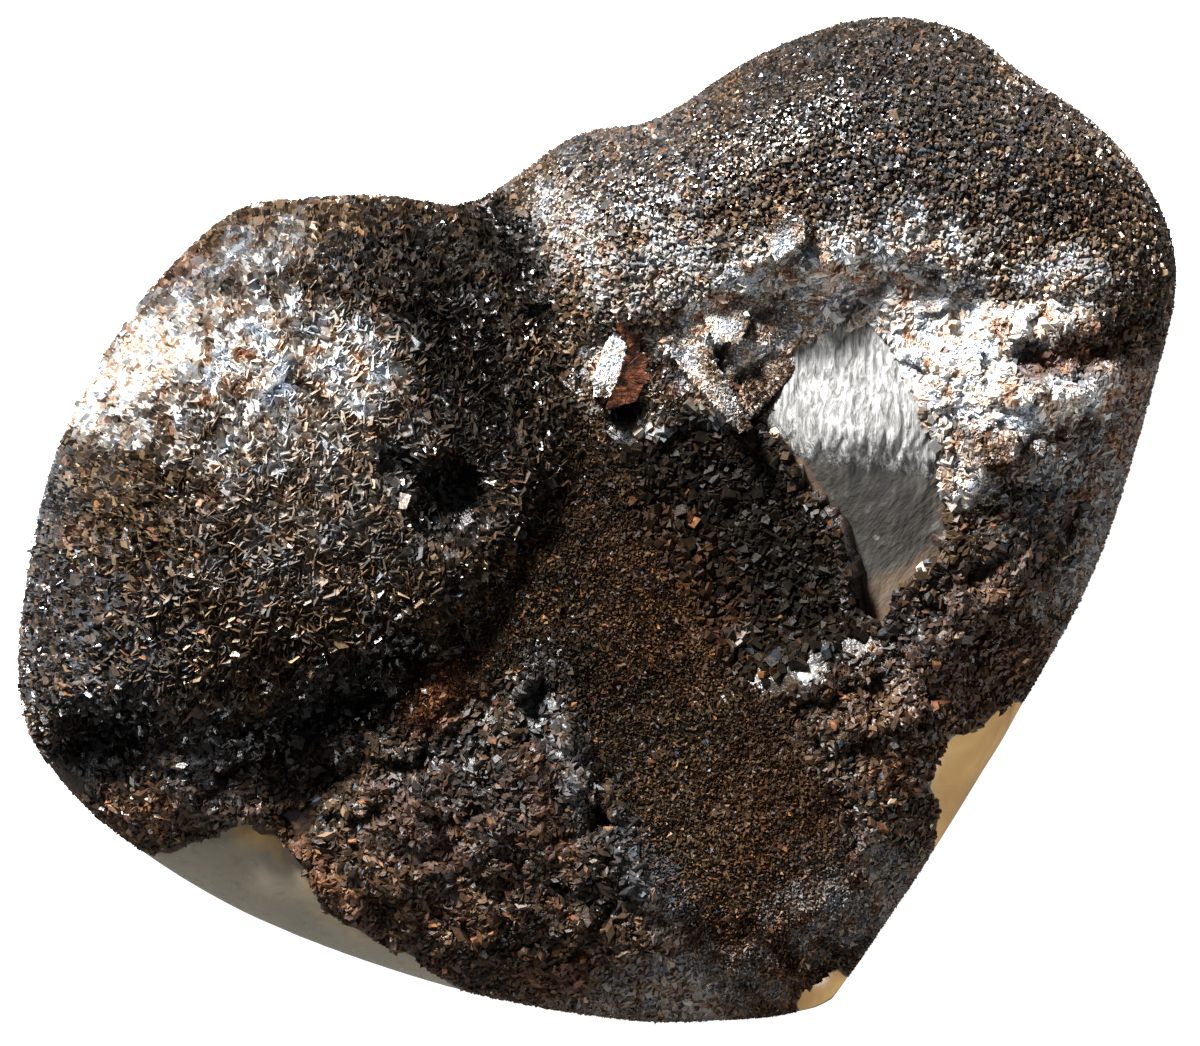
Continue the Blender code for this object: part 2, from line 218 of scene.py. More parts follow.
def natural_height(x, y):
    """The smoothest face through every height given, as a thin plate would lie, with its edges and pits."""
    stations = np.array(HEIGHTS, float)

    def bending(distance):
        return distance**2 * np.log(np.maximum(distance, 1e-9))

    count = len(stations)
    system = np.zeros((count + 3, count + 3))
    gaps = stations[:, None, :2] - stations[None, :, :2]
    plane = np.column_stack([np.ones(count), stations[:, :2]])
    system[:count, :count] = bending(np.hypot(gaps[..., 0], gaps[..., 1]))
    system[:count, count:] = plane
    system[count:, :count] = plane.T
    weights = np.linalg.solve(system, np.append(stations[:, 2], (0, 0, 0)))
    height = weights[count] + weights[count + 1] * x + weights[count + 2] * y
    for weight, (sx, sy, _) in zip(weights, stations):
        height += weight * bending(np.hypot(x - sx, y - sy))
    for rise, width, edge in LOBE_EDGES:
        height += rise * smooth_step(depth_in(edge, x, y) / width)
    for px, py, radius, depth in PITS:
        height -= depth * np.exp(-(np.hypot(x - px, y - py) / radius)**4)
    height -= HOLLOW_DEPTH * smooth_step(depth_in(COARSE_HOLLOW, x, y) / 3 + 0.3)
    return height + SWELL_HEIGHT * lumps(x, y, seed=7.7, scale=9.0)


def side_rounding(x, y):
    """Share of its height that the face keeps near the outline, so that it falls round to the girth."""
    return np.sqrt(1 - (1 - np.clip(inset(x, y) / FACE_ROUNDING, 0, 1))**2)


def above_crease(x, y):
    """How far each point of the window is up from the crease across it, negative below that."""
    return CREASE_FALL * (x - CREASE_X) + y - CREASE_Y


def window_ridges(x, y):
    """Wavy ridges down the broken window, strong above its crease and faint below it."""
    across, along = RIDGE_RUN_Y * x - RIDGE_RUN_X * y, RIDGE_RUN_X * x + RIDGE_RUN_Y * y
    across += 0.45 * lumps(x, y, seed=3.7, scale=2.6)
    broad = 0.24 * lumps(across, 0.2 * along, seed=4.4, scale=1.1)
    narrow = 0.22 * lumps(across, 0.3 * along, seed=9.9, scale=0.5)
    above = above_crease(x, y)
    upper = smooth_step(above / 4 + 0.8)
    at_crease = np.exp(-((above + 1) / 2.5)**2)
    return (broad + narrow) * (0.16 + 0.84 * upper + 0.8 * at_crease)


def limestone_height(x, y):
    """Height of the limestone over the girth: a crust lower where it is bare, half of one under the crust."""
    bare = smooth_step((bareness(x, y) + STEP_UNDER_EDGE) / STEP_WIDTH + 0.5)
    window = smooth_step(depth_in(LIMESTONE_WINDOW, x, y) / 1.5 + 1)
    above = above_crease(x, y)
    bulge = 0.9 + 0.6 * smooth_step((above + 1.5) / 4) + 0.13 * np.minimum(above, 0)
    bulge += 0.2 * lumps(x, y, seed=6.6, scale=5.0)
    down = CRUST_THICKNESS * (0.5 + 0.5 * bare * (1 - 0.7 * window))
    height = natural_height(x, y) - down + (bulge + window_ridges(x, y)) * window
    return height * side_rounding(x, y)


def back_height(x, y):
    """Height of the polished back: a round side from the girth down to the flat that it lies on."""
    share = np.clip(inset(x, y) / BACK_ROUNDING, 0, 1)
    return np.maximum(GIRTH_HEIGHT - (GIRTH_HEIGHT + GROUND_OFF) * np.sqrt(1 - (1 - share)**2), 0)


def stone_ball(segments):
    """A unit ball of even squares, with a row of points round its middle."""
    ball = bmesh.new()
    bmesh.ops.create_cube(ball, size=2)
    bmesh.ops.subdivide_edges(ball, edges=ball.edges, cuts=segments - 1, use_grid_fill=True)
    for vert in ball.verts:
        vert.co = Vector([math.tan(value * math.pi / 4) for value in vert.co]).normalized()
    return ball


def over_heart(unit):
    """Where points of the unit ball lie on the heart as it is seen from above."""
    angle = np.arctan2(unit[:, 1], unit[:, 0])
    out = np.clip(np.hypot(unit[:, 0], unit[:, 1]), 0, 1) * reach(angle)
    return out * np.cos(angle), out * np.sin(angle)


def place_on_heart(ball, face_height, settle=None):
    """Moves the ball's points onto the heart: its upper half to the face and its lower half to the back."""
    unit = np.array([vert.co for vert in ball.verts])
    x, y = over_heart(unit)
    if settle:
        x, y = settle(x, y)
    height = np.full(x.shape, GIRTH_HEIGHT)
    face, back = unit[:, 2] > 1e-6, unit[:, 2] < -1e-6
    height[face] += face_height(x[face], y[face])
    height[back] = back_height(x[back], y[back])
    for vert, co in zip(ball.verts, np.column_stack([x, y, height]) * MM):
        vert.co = co


def finished_piece(name, mesh, material):
    """An object for the mesh, riding with the heart."""
    mesh.materials.append(material)
    piece = bpy.data.objects.new(name, mesh)
    bpy.context.scene.collection.objects.link(piece)
    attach(piece, "root")
    return piece


def piece_from(stone, name, material):
    """A finished object from a bmesh."""
    mesh = bpy.data.meshes.new(name)
    stone.to_mesh(mesh)
    stone.free()
    return finished_piece(name, mesh, material)


class Nodes:
    """Adds nodes to a tree and joins them, so that a material reads from top to bottom."""

    def __init__(self, tree):
        self.tree = tree

    def add(self, kind, inputs=None, **settings):
        made = self.tree.nodes.new(kind)
        for name, value in settings.items():
            setattr(made, name, value)
        for name, value in (inputs or {}).items():
            if isinstance(value, bpy.types.NodeSocket):
                self.tree.links.new(value, made.inputs[name])
            else:
                made.inputs[name].default_value = value
        return made

    def noise(self, place, scale, detail=3.0, roughness=0.55, distortion=0.0):
        return self.add("ShaderNodeTexNoise", {
            "Vector": place, "Scale": scale, "Detail": detail, "Roughness": roughness,
            "Distortion": distortion,
        }).outputs["Fac"]

    def between(self, value, low, high):
        """0 where the value is low or less, 1 where it is high or more."""
        return self.add(
            "ShaderNodeMapRange", {"Value": value, "From Min": low, "From Max": high},
            interpolation_type="SMOOTHSTEP",
        ).outputs["Result"]

    def attribute(self, name):
        return self.add("ShaderNodeAttribute", attribute_name=name).outputs["Fac"]

    def squeezed(self, place, scale):
        return self.add("ShaderNodeMapping", {"Vector": place, "Scale": scale}).outputs[0]

    def laid_along(self, place, turn, stretch):
        """Coordinates in which a pattern lies turned by these degrees and drawn out by the stretch."""
        return self.add(
            "ShaderNodeMapping", {"Vector": place, "Rotation": (0, 0, math.radians(turn)), "Scale": stretch},
            vector_type="TEXTURE",
        ).outputs[0]

    def cell_edges(self, place, scale, randomness):
        """How far each point is from the nearest edge between two cells."""
        return self.add(
            "ShaderNodeTexVoronoi", {"Vector": place, "Scale": scale, "Randomness": randomness},
            feature="DISTANCE_TO_EDGE",
        ).outputs["Distance"]

    def math(self, operation, one, two):
        return self.add("ShaderNodeMath", {0: one, 1: two}, operation=operation).outputs[0]

    def plus(self, one, two):
        return self.math("ADD", one, two)

    def times(self, one, two):
        return self.math("MULTIPLY", one, two)

    def rest_of(self, share):
        """What the share leaves of 1."""
        return self.math("SUBTRACT", 1.0, share)

    def mix(self, share, one, two):
        return self.add("ShaderNodeMix", {0: share, 6: one, 7: two}, data_type="RGBA").outputs[2]

    def ramp(self, value, stops):
        ramp = self.add("ShaderNodeValToRGB", {"Fac": value})
        elements = ramp.color_ramp.elements
        while len(elements) < len(stops):
            elements.new(0.5)
        for element, (position, colour) in zip(elements, stops):
            element.position = position
            element.color = (*colour, 1)
        return ramp.outputs["Color"]

    def bump(self, height, strength, distance, normal=None):
        inputs = {"Height": height, "Strength": strength, "Distance": distance}
        if normal is not None:
            inputs["Normal"] = normal
        return self.add("ShaderNodeBump", inputs).outputs["Normal"]


def new_material(name):
    """A material with its nodes ready, its Principled shader and its own Object coordinates."""
    material = bpy.data.materials.new(name)
    material.use_nodes = True
    nodes = Nodes(material.node_tree)
    place = nodes.add("ShaderNodeTexCoord").outputs["Object"]
    return material, nodes, material.node_tree.nodes["Principled BSDF"], place


def mark(mesh, name, values):
    """Stores a number for every point of the mesh, for its material to read."""
    mesh.attributes.new(name, "FLOAT", "POINT").data.foreach_set("value", np.asarray(values, np.float32))


def points_of(mesh):
    """Where the mesh's points are, in millimetres."""
    return np.array([vert.co for vert in mesh.vertices]) / MM


# Colours of the ground stone and its stains, from dark to light, and of the fine lines of its grinding.
GROUND_GREYS = ((0.30, (0.105, 0.090, 0.064)), (0.5, (0.160, 0.140, 0.102)), (0.7, (0.205, 0.178, 0.132)))
OCHRES = ((0.3, (0.17, 0.085, 0.030)), (0.45, (0.33, 0.19, 0.063)), (0.65, (0.50, 0.31, 0.105)))
GRINDING_LINE = (0.075, 0.063, 0.045, 1)
# Colours of a vein from its edges inwards and of the stone beside it, then of flecks and cracks.
VEIN_BROWNS = (
    (0.1, (0.020, 0.011, 0.007)), (0.3, (0.075, 0.036, 0.016)), (0.5, (0.22, 0.13, 0.055)),
    (0.9, (0.42, 0.33, 0.20)),
)
VEIN_HALO = (0.13, 0.075, 0.035, 1)
FLECK = (0.55, 0.50, 0.42, 1)
CRACK = (0.02, 0.017, 0.013, 1)
# Colours of the crust's section, then of the window's stone, paler above its crease as painted light and
# darker below it as painted shade, its specks and its stain.
SECTION_BROWNS = ((0.35, (0.012, 0.008, 0.006)), (0.55, (0.036, 0.019, 0.011)), (0.75, (0.11, 0.062, 0.035)))
LIT_WINDOW_GREYS = ((0.35, (0.040, 0.038, 0.034)), (0.48, (0.120, 0.118, 0.112)), (0.65, (0.27, 0.27, 0.26)))
SHADED_WINDOW_GREYS = ((0.35, (0.019, 0.0165, 0.0125)), (0.6, (0.032, 0.029, 0.023)), (0.68, (0.085, 0.080, 0.070)))
SPECK = (0.42, 0.39, 0.33, 1)
WINDOW_STAIN = (0.075, 0.046, 0.025, 1)
# Heights in metres between which the veins end, a little below the girth.
VEIN_TOP = (0.0125, 0.0145)


def ground_stone(nodes, place, ochre, tan_clouds):
    """Grey limestone with the fine lines of its grinding, tan where it is stained with ochre."""
    grey = nodes.ramp(nodes.noise(place, 38, 5), GROUND_GREYS)
    lines = nodes.between(nodes.noise(nodes.squeezed(place, (0.12, 1, 1)), 1300, 3), 0.5, 0.75)
    grey = nodes.mix(nodes.times(lines, 0.35), grey, GRINDING_LINE)
    stained = nodes.between(nodes.plus(ochre, nodes.times(tan_clouds, 1.6)), 1.1, 1.5)
    return nodes.mix(stained, grey, nodes.ramp(tan_clouds, OCHRES))


def veined(nodes, place, bent, colour):
    """The stone with its veins of calcite, which meet in threes, as cracks in drying mud do."""
    width = nodes.plus(0.008, nodes.times(nodes.between(nodes.noise(place, 30, 2), 0.4, 0.7), 0.05))
    from_vein = nodes.math("SUBTRACT", nodes.cell_edges(bent, 34, 0.9), width)
    height = nodes.add("ShaderNodeSeparateXYZ", {"Vector": place}).outputs["Z"]
    below_girth = nodes.rest_of(nodes.between(height, *VEIN_TOP))
    halo = nodes.rest_of(nodes.between(from_vein, 0.01, 0.07))
    colour = nodes.mix(nodes.times(nodes.times(halo, below_girth), 0.5), colour, VEIN_HALO)
    vein = nodes.rest_of(nodes.between(from_vein, 0.0, 0.008))
    fill = nodes.plus(nodes.times(from_vein, -14.0), nodes.times(nodes.noise(place, 500, 4), 0.4))
    return nodes.mix(nodes.times(vein, below_girth), colour, nodes.ramp(fill, VEIN_BROWNS))


def flecked(nodes, place, fleck_cells, colour):
    """The stone with its flecks of pale calcite."""
    flecks = nodes.rest_of(nodes.between(fleck_cells, 0.06, 0.12))
    here = nodes.between(nodes.noise(place, 120, 2), 0.52, 0.6)
    return nodes.mix(nodes.times(nodes.times(flecks, here), 0.8), colour, FLECK)


def hairline_cracks(nodes, place, bent):
    """1 along a few fine cracks."""
    lines = nodes.rest_of(nodes.between(nodes.cell_edges(bent, 95, 1.0), 0.004, 0.016))
    return nodes.times(lines, nodes.between(nodes.noise(place, 55, 2), 0.56, 0.62))


def with_crust_section(nodes, place, crust_band, colour):
    """The stone with a dark band where its side was ground through the crust."""
    fibres = nodes.noise(nodes.squeezed(place, (1, 1, 0.15)), 1500, 4)
    banded = nodes.between(nodes.plus(crust_band, nodes.times(nodes.noise(place, 330, 4), 0.9)), 0.85, 1.0)
    return nodes.mix(banded, colour, nodes.ramp(fibres, SECTION_BROWNS))


def broken_stone(nodes, place, ochre, tan_clouds, fleck_cells, lit_above_crease):
    """Colour and relief of the unpolished window: ridged above its crease and paler there as painted light,
    smoother below and darker there as painted shade.
    """
    ridged = nodes.noise(nodes.laid_along(place, -28, (1, 6, 1)), 2000, 5, 0.65, 0.5)
    rays = nodes.noise(nodes.laid_along(place, -62, (1, 14, 1)), 900, 4, 0.6)
    lit_above_crease = nodes.between(nodes.plus(lit_above_crease, nodes.times(ridged, 1.1)), 0.8, 1.3)
    specks = nodes.times(nodes.rest_of(nodes.between(fleck_cells, 0.15, 0.22)), 0.8)
    specks = nodes.times(specks, nodes.between(nodes.noise(place, 190, 2), 0.5, 0.56))
    shaded_lower = nodes.mix(specks, nodes.ramp(rays, SHADED_WINDOW_GREYS), SPECK)
    stained = nodes.between(nodes.plus(ochre, nodes.times(tan_clouds, 0.6)), 0.6, 1.0)
    shaded_lower = nodes.mix(stained, shaded_lower, WINDOW_STAIN)
    relief = nodes.mix(lit_above_crease, nodes.times(rays, 0.35), ridged)
    return nodes.mix(lit_above_crease, shaded_lower, nodes.ramp(ridged, LIT_WINDOW_GREYS)), relief


def limestone_material():
    material, nodes, shader, place = new_material("polished_limestone")
    broken, lit_above_crease, ochre, crust_band = (
        nodes.attribute(name) for name in ("broken", "lit_above_crease", "ochre", "crust_band")
    )
    grain = nodes.noise(place, 900, 4)
    tan_clouds = nodes.noise(place, 70, 4, distortion=0.6)
    fleck_cells = nodes.add(
        "ShaderNodeTexVoronoi", {"Vector": place, "Scale": 260, "Randomness": 1.0}
    ).outputs["Distance"]
    swirls = nodes.add("ShaderNodeTexNoise", {"Vector": place, "Scale": 45, "Detail": 3}).outputs["Color"]
    bent = nodes.add(
        "ShaderNodeVectorMath", {0: place, 1: swirls, 2: (0.003, 0.003, 0.003)}, operation="MULTIPLY_ADD"
    ).outputs[0]

    colour = ground_stone(nodes, place, ochre, tan_clouds)
    colour = veined(nodes, place, bent, colour)
    colour = flecked(nodes, place, fleck_cells, colour)
    cracks = hairline_cracks(nodes, place, bent)
    colour = nodes.mix(nodes.times(cracks, 0.7), colour, CRACK)
    colour = with_crust_section(nodes, place, crust_band, colour)
    window_colour, relief = broken_stone(nodes, place, ochre, tan_clouds, fleck_cells, lit_above_crease)

    shader.inputs["IOR"].default_value = 1.55
    nodes.tree.links.new(nodes.mix(broken, colour, window_colour), shader.inputs["Base Color"])
    rough = nodes.plus(nodes.times(broken, 0.42), nodes.plus(0.17, nodes.times(grain, 0.16)))
    nodes.tree.links.new(rough, shader.inputs["Roughness"])
    fine = nodes.bump(grain, 0.05, 0.0004)
    split = nodes.bump(nodes.times(relief, broken), 1.0, 0.0006, fine)
    nodes.tree.links.new(nodes.bump(cracks, -0.3, 0.0003, split), shader.inputs["Normal"])
    return material


LIMESTONE_SEGMENTS = 80
WINDOW_CUTS = 6
limestone_ball = stone_ball(LIMESTONE_SEGMENTS)
middles = np.array([face.calc_center_median() for face in limestone_ball.faces])
in_window = (depth_in(LIMESTONE_WINDOW, *over_heart(middles)) > -1.5) & (middles[:, 2] > 0)
ridged = {face for face, chosen in zip(limestone_ball.faces, in_window) if chosen}
ridged_edges = [edge for edge in limestone_ball.edges if not ridged.isdisjoint(edge.link_faces)]
bmesh.ops.subdivide_edges(limestone_ball, edges=ridged_edges, cuts=WINDOW_CUTS, use_grid_fill=True)
place_on_heart(limestone_ball, limestone_height)
limestone = piece_from(limestone_ball, "limestone", limestone_material())
limestone.data.shade_smooth()
x, y, z = points_of(limestone.data).T
over_girth = z - GIRTH_HEIGHT
above = above_crease(x, y)
window_depth = depth_in(LIMESTONE_WINDOW, x, y)
mark(limestone.data, "broken", smooth_step(window_depth / 2 + 1.5) * (z > GIRTH_HEIGHT + 4))
# Above the window's crease the stone gets the paler colours, as painted light, and below it the darker ones,
# as painted shade.
mark(limestone.data, "lit_above_crease", smooth_step((above + 1.5) / 5 + 0.5))

# Ochre stains the window's lower left edge and lower end, two ground corners and the stone along the crust.
wave = 3 * lumps(x + y, z, seed=5.3, scale=6.0) + 1.5 * lumps(x + y, z, seed=1.7, scale=2.0)
window_edge = smooth_step(1.6 - np.abs(window_depth) / 1.3) * smooth_step((21 - x) / 3)
window_edge *= smooth_step(-above / 3)
window_end = 0.6 * smooth_step((-10.5 - y) / 4 + 0.3 * lumps(x, y, seed=4.9, scale=2.0))
near_crust = smooth_step((deepest_in(BARE_PATCHES, x, y) - 5) / -5)
stains = [0.8 * window_edge, window_end * smooth_step(window_depth + 1)]
stains += [smooth_step((depth_in(patch, x, y) + wave) / 5 + 1.2) for patch in (OCHRE_CORNER, GROUND_TIP)]
stains += [0.45 * near_crust * smooth_step((over_girth + 4) / 3)]
side_fade = smooth_step((over_girth + 9) / 6 + 0.35 * lumps(x, y, seed=6.1, scale=3.0))
mark(limestone.data, "ochre", np.maximum.reduce(stains) * side_fade)

ground_here = deepest_in((GROUND_LIMESTONE, OCHRE_CORNER, GROUND_TIP), x, y)
band_depth = 2.0 + 1.6 * lumps(x, y, seed=5.2, scale=11.0) + 0.7 * lumps(x, y, seed=2.9, scale=3.0)
mark(limestone.data, "crust_band", smooth_step((over_girth + band_depth) / 0.8 + 0.5)
     * smooth_step(0.5 - (ground_here - 0.2) / 1.6))
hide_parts("septarian_heart")

# The crust.
# Dark calcite that grew over the crack's wall in a layer of fibres, with its crystals' points outwards.
# It is broken along its edges, where its red-brown fibres show.

BROKEN_LEFT = (
    (-62.0, 4.0), (-51.0, 5.5), (-44.0, 2.5), (-37.0, -3.0), (-27.0, -5.0), (-19.0, -3.5), (-13.5, -6.0),
    (-12.5, -20.0), (-14.5, -33.0), (-17.0, -48.0), (-45.0, -38.0), (-64.0, -8.0),
)
BROKEN_RIGHT = (
    (5.5, -20.0), (12.0, -18.5), (17.0, -19.0), (24.0, -16.0), (30.5, -11.0), (31.5, 3.0), (28.0, 12.5),
    (20.0, 18.5), (26.0, 22.0), (36.0, 15.0), (42.0, 5.0), (50.0, 0.5), (60.0, -3.0), (62.0, -16.0),
    (30.0, -38.0), (2.0, -50.0), (5.0, -34.0),
)

# Fragments and ridges that stand up from the crust, each as x, y, half length, half width, turn and rise.
RIDGES = (
    (13.2, 13.4, 4.6, 1.1, 104, 1.2), (17.4, 17.0, 3.2, 2.2, 8, 1.2), (19.0, 12.6, 3.4, 1.3, 14, 1.2),
    (22.8, 19.2, 1.4, 3.6, -6, 1.6), (27.6, 20.6, 2.2, 1.4, 30, 1.2), (44.6, 2.0, 6.0, 1.6, -24, 1.2),
    (47.4, -6.0, 5.6, 1.8, -12, 1.0), (-40.0, 5.0, 6.6, 1.6, -14, 1.4), (-47.2, 1.2, 2.0, 4.8, -18, 1.4),
    (-42.4, -16.6, 1.4, 6.4, 16, 1.2), (-15.6, -15.6, 1.6, 7.4, -16, 1.6), (-28.0, -3.2, 6.0, 1.6, 4, 1.2),
    (9.4, -18.4, 2.6, 1.8, 0, 1.2), (-13.8, -29.0, 1.6, 5.4, 8, 1.2), (24.0, -21.0, 4.6, 2.0, 18, 1.0),
)

# Stains on the crust and its crystals, each as x, y, half length, half width, turn in degrees and strength.
# The pale and slate lists also hold painted light, as said above each.
RUSTY = (
    (-24, -3.4, 4.0, 3.0, 10, 1.0), (-55, 0, 5, 3.0, -20, 0.6), (-26, -34, 7, 3.5, -25, 0.55),
    (-33, -12, 3, 5, 15, 0.4), (-20, -18, 2, 8, -10, 0.4), (-42, -14, 1.6, 8, 15, 0.7),
    (12.5, -31, 4, 3, 0, 0.5), (27.5, -27, 4, 2, 15, 0.7), (12, -24, 4, 5, 0, 0.3), (30, -20, 8, 3, 30, 0.3),
    (-7, -44, 5, 2.4, 0, 0.6), (9, 32, 1.6, 0.9, 20, 0.8), (-25.5, 46, 3, 1.8, 30, 0.9),
    (28, 12.5, 7, 2.0, -12, 0.6), (21, 10, 5, 3, 0, 0.5), (9.8, 17.4, 1.0, 3.4, -20, 0.9),
    (10.8, 14.2, 2.0, 3.0, 0, 0.6), (21.5, 14, 3, 2.2, 0, 0.6), (33, 0, 3, 6, 20, 0.35),
    (44, -4, 6, 2, -20, 0.45), (-34.5, 24, 1.2, 1.4, 0, 0.8), (-48, 27, 1.4, 1.2, 0, 0.7),
    (35, -8, 4, 2.5, -20, 0.5), (-32, -18, 9, 9, 0, 0.3), (22, -26, 12, 6, 38, 0.35),
    (-12, -38, 12, 5, -20, 0.35), (0, -6, 7, 10, 0, 0.25), (0, -30, 8, 10, 0, 0.2),
    (46.5, -2.8, 6.5, 2.2, -14, 1.0), (49.3, -9.6, 5.5, 2.6, 56, 0.9), (4.7, -36.8, 1.2, 1.2, 0, 1),
    (-47, -2, 3, 4, 20, 0.3), (30, 25, 3, 1.2, 0, 0.5), (-30, -20, 1.2, 9, -20, 0.5),
    (-24, -26, 1.0, 7, 25, 0.4), (20, -24, 1.2, 6, 40, 0.4), (38, -18, 6, 1.0, 35, 0.5),
)
# Pale spots. On the pale fragment and the crust round the window they are the crust's own pale colour, partly
# brightened as painted light. On the left lobe's upper flank and the right lobe's left flank they are a
# painted highlight, and on the lower flanks they are painted light.
PALE_AND_PAINTED_LIGHT = (
    (6.2, 17.6, 3.6, 2.2, 42, 1.0), (9, 29, 4, 9, 10, 0.35), (16, 24, 6, 5, 0, 0.45),
    (24, 18, 9, 3.5, -10, 0.6), (36, 14, 9, 4, -20, 0.75), (36, 2, 9, 8, -30, 1.0),
    (43, -6, 9, 3.2, -14, 1.0), (33, 9, 6, 5, 0, 1.0), (17, 17, 4.5, 3, 10, 0.85), (24, 13, 6, 3, 10, 0.7),
    (12.6, 13, 1.6, 6, 15, 0.8), (19.5, 12.2, 4.4, 1.6, 10, 0.8), (31, -8, 4, 2.5, -30, 0.6),
    (48, 4, 5, 4, -20, 0.5), (6, 11, 3, 1.5, -30, 0.5), (-27, 42, 4, 2, 25, 0.3), (5, -12, 1.2, 0.8, 0, 0.5),
    (9, -18.4, 1.2, 0.8, 0, 0.25), (-16, -16, 1.2, 6, -16, 0.2), (-15, -33, 1.6, 4, 0, 0.2),
    (40, -12, 5, 2, -30, 0.35), (-34.5, 38.5, 8.5, 5.5, 5, 1.0), (-24.8, 34.5, 7, 5.5, -20, 1.0),
    (-16, 29.5, 6, 5, -30, 0.95), (-24, 26, 11, 5, -15, 0.4), (-20, 43, 6, 3, -10, 0.4),
    (48, -14, 10, 6, 35, 0.3), (40, -21, 9, 4, 35, 0.25), (-16, -40, 10, 4, -20, 0.25),
    (2, -40, 8, 5, 0, 0.2), (27, 12.5, 6, 3, 0, 0.9), (30, 14, 5, 4, -10, 0.9), (45, 2, 7, 3, -20, 0.8),
    (-24, 18, 14, 9, 0, 0.15),
)
# Slate-blue spots: the crystals' own colour, except along the left lobe's rim, where they are partly a
# painted bluish sheen.
SLATE_AND_SHEEN = (
    (22.5, 19, 2.2, 4.6, -8, 1.0), (28, 20.5, 2.4, 1.8, 20, 0.8), (39, 9, 4, 4, 0, 0.7),
    (42, 4, 3, 3, 0, 0.7), (-47, 1, 4.4, 5, -18, 0.9), (-28, -14, 8, 8, 0, 0.4), (-16, -12, 3, 8, -16, 0.5),
    (-14, -30, 3, 8, 6, 0.5), (38, -15, 9, 5, 30, 0.5), (22, -21, 7, 5, 20, 0.3), (-50, 33, 8, 5, 45, 0.9),
    (-22, 43, 7, 3.5, -15, 0.9), (-12, 38, 5, 3.5, -20, 0.5), (16, 17, 3, 2, 0, 0.4),
    (-16, 20, 2.6, 2, 0, 0.7), (34, 16, 8, 2.5, -15, 0.35), (-56, 12, 4, 8, 20, 0.4), (12, 33, 4, 6, 20, 0.3),
    (-38, 34, 10, 4, 25, 0.25), (40, 26, 20, 12, -35, 0.5), (18, 34, 12, 10, 0, 0.6),
    (-54, 22, 8, 18, 15, 0.7), (-50, 14, 10, 8, 0, 0.5),
)
# Where the crystals are made darkest, as for the stains. This is mostly painted shade, in the cleft, under
# the left lobe's lip, in the pits and the hollow, over the lower half and along the lobes' far edges, and
# partly crystals that are darker there.
SHADE_AND_DARK_CRYSTALS = (
    (-5, 30, 8, 13, 0, 1.0), (-13.8, 13.2, 4.6, 4.6, 0, 1.0), (-14, 13, 8, 8, 0, 0.5),
    (22, 14, 2.4, 2.0, 0, 0.7), (-2, 6, 10, 12, 0, 0.6), (10, -3, 9, 14, 0, 1.0), (12, -17, 9, 6, 0, 0.9),
    (2, -26, 8, 14, 0, 0.5), (-34, 0, 16, 6, -10, 0.9), (-56, 8, 6, 6, 0, 1.0), (2, 32, 4, 11, 0, 1.0),
    (-20, -22, 8, 12, 0, 0.5), (-6, 20, 8, 10, 20, 0.9), (12, -8, 7, 9, 0, 1.0), (20, -19, 6, 4, 20, 0.6),
    (-26, -11, 8, 7, 0, 0.7), (-17, -14, 7, 9, 0, 0.7), (-13, -6, 7, 5, 0, 0.7), (3, 2, 6, 8, 0, 0.6),
    (-6, -12, 8, 8, 0, 0.4), (42, 33, 18, 10, -38, 0.6), (54, 16, 10, 8, -60, 0.4),
    (-54, 22, 12, 6, 75, 0.45), (-30, -18, 6, 6, 0, 0.5),
)


# Plates of the split crust from large to small, each as seed, spacing and lean.
PLATE_SIZES = ((11, 4.6, 0.34), (12, 2.8, 0.28), (14, 1.3, 0.22))


def cells(x, y, seed, spacing):
    """The nearest of many scattered centres to each point, how far off it is, and three draws for each."""
    random = np.random.default_rng(seed)
    lines = np.arange(-70, 70, spacing)
    centres = np.stack(np.meshgrid(lines, lines), axis=-1).reshape(-1, 2)
    centres += random.uniform(-0.5, 0.5, centres.shape) * spacing
    tree = kdtree.KDTree(len(centres))
    for index, (cx, cy) in enumerate(centres):
        tree.insert((cx, cy, 0), index)
    tree.balance()
    nearest = np.array([tree.find((px, py, 0))[1] for px, py in zip(x, y)])
    return nearest, np.stack([x, y], axis=-1) - centres[nearest], random.uniform(-1, 1, (len(centres), 3))


def plates(x, y, seed, spacing, lean):
    """Height of flat plates about this far across, each lying at its own level and leaning its own way."""
    nearest, away, chance = cells(x, y, seed, spacing)
    tilt = chance[nearest]
    return lean * (0.5 * spacing * tilt[:, 0] + (tilt[:, 1:] * away).sum(axis=1))


def from_middle(x, y, middle, turn):
    """How far each point is from the middle along a direction turned by these degrees, and across it."""
    c, s = math.cos(math.radians(turn)), math.sin(math.radians(turn))
    return (x - middle[0]) * c + (y - middle[1]) * s, (y - middle[1]) * c - (x - middle[0]) * s


def crust_height(x, y):
    """Height of the crust's skin over the girth, under the crystals that stand on it."""
    broken = smooth_step(deepest_in((BROKEN_LEFT, BROKEN_RIGHT), x, y) / 3 + 0.5)
    height = natural_height(x, y) + 0.6 * lumps(x, y, seed=1.3, scale=4.0)
    height += 0.35 * lumps(x, y, seed=5.9, scale=1.9) * (1 - broken)
    height += sum(plates(x, y, *size) for size in PLATE_SIZES) * broken
    for *middle, long, wide, turn, rise in RIDGES:
        u, v = from_middle(x, y, middle, turn)
        height += rise * np.exp(-(u / long)**4 - (v / wide)**4)
    return height * side_rounding(x, y)


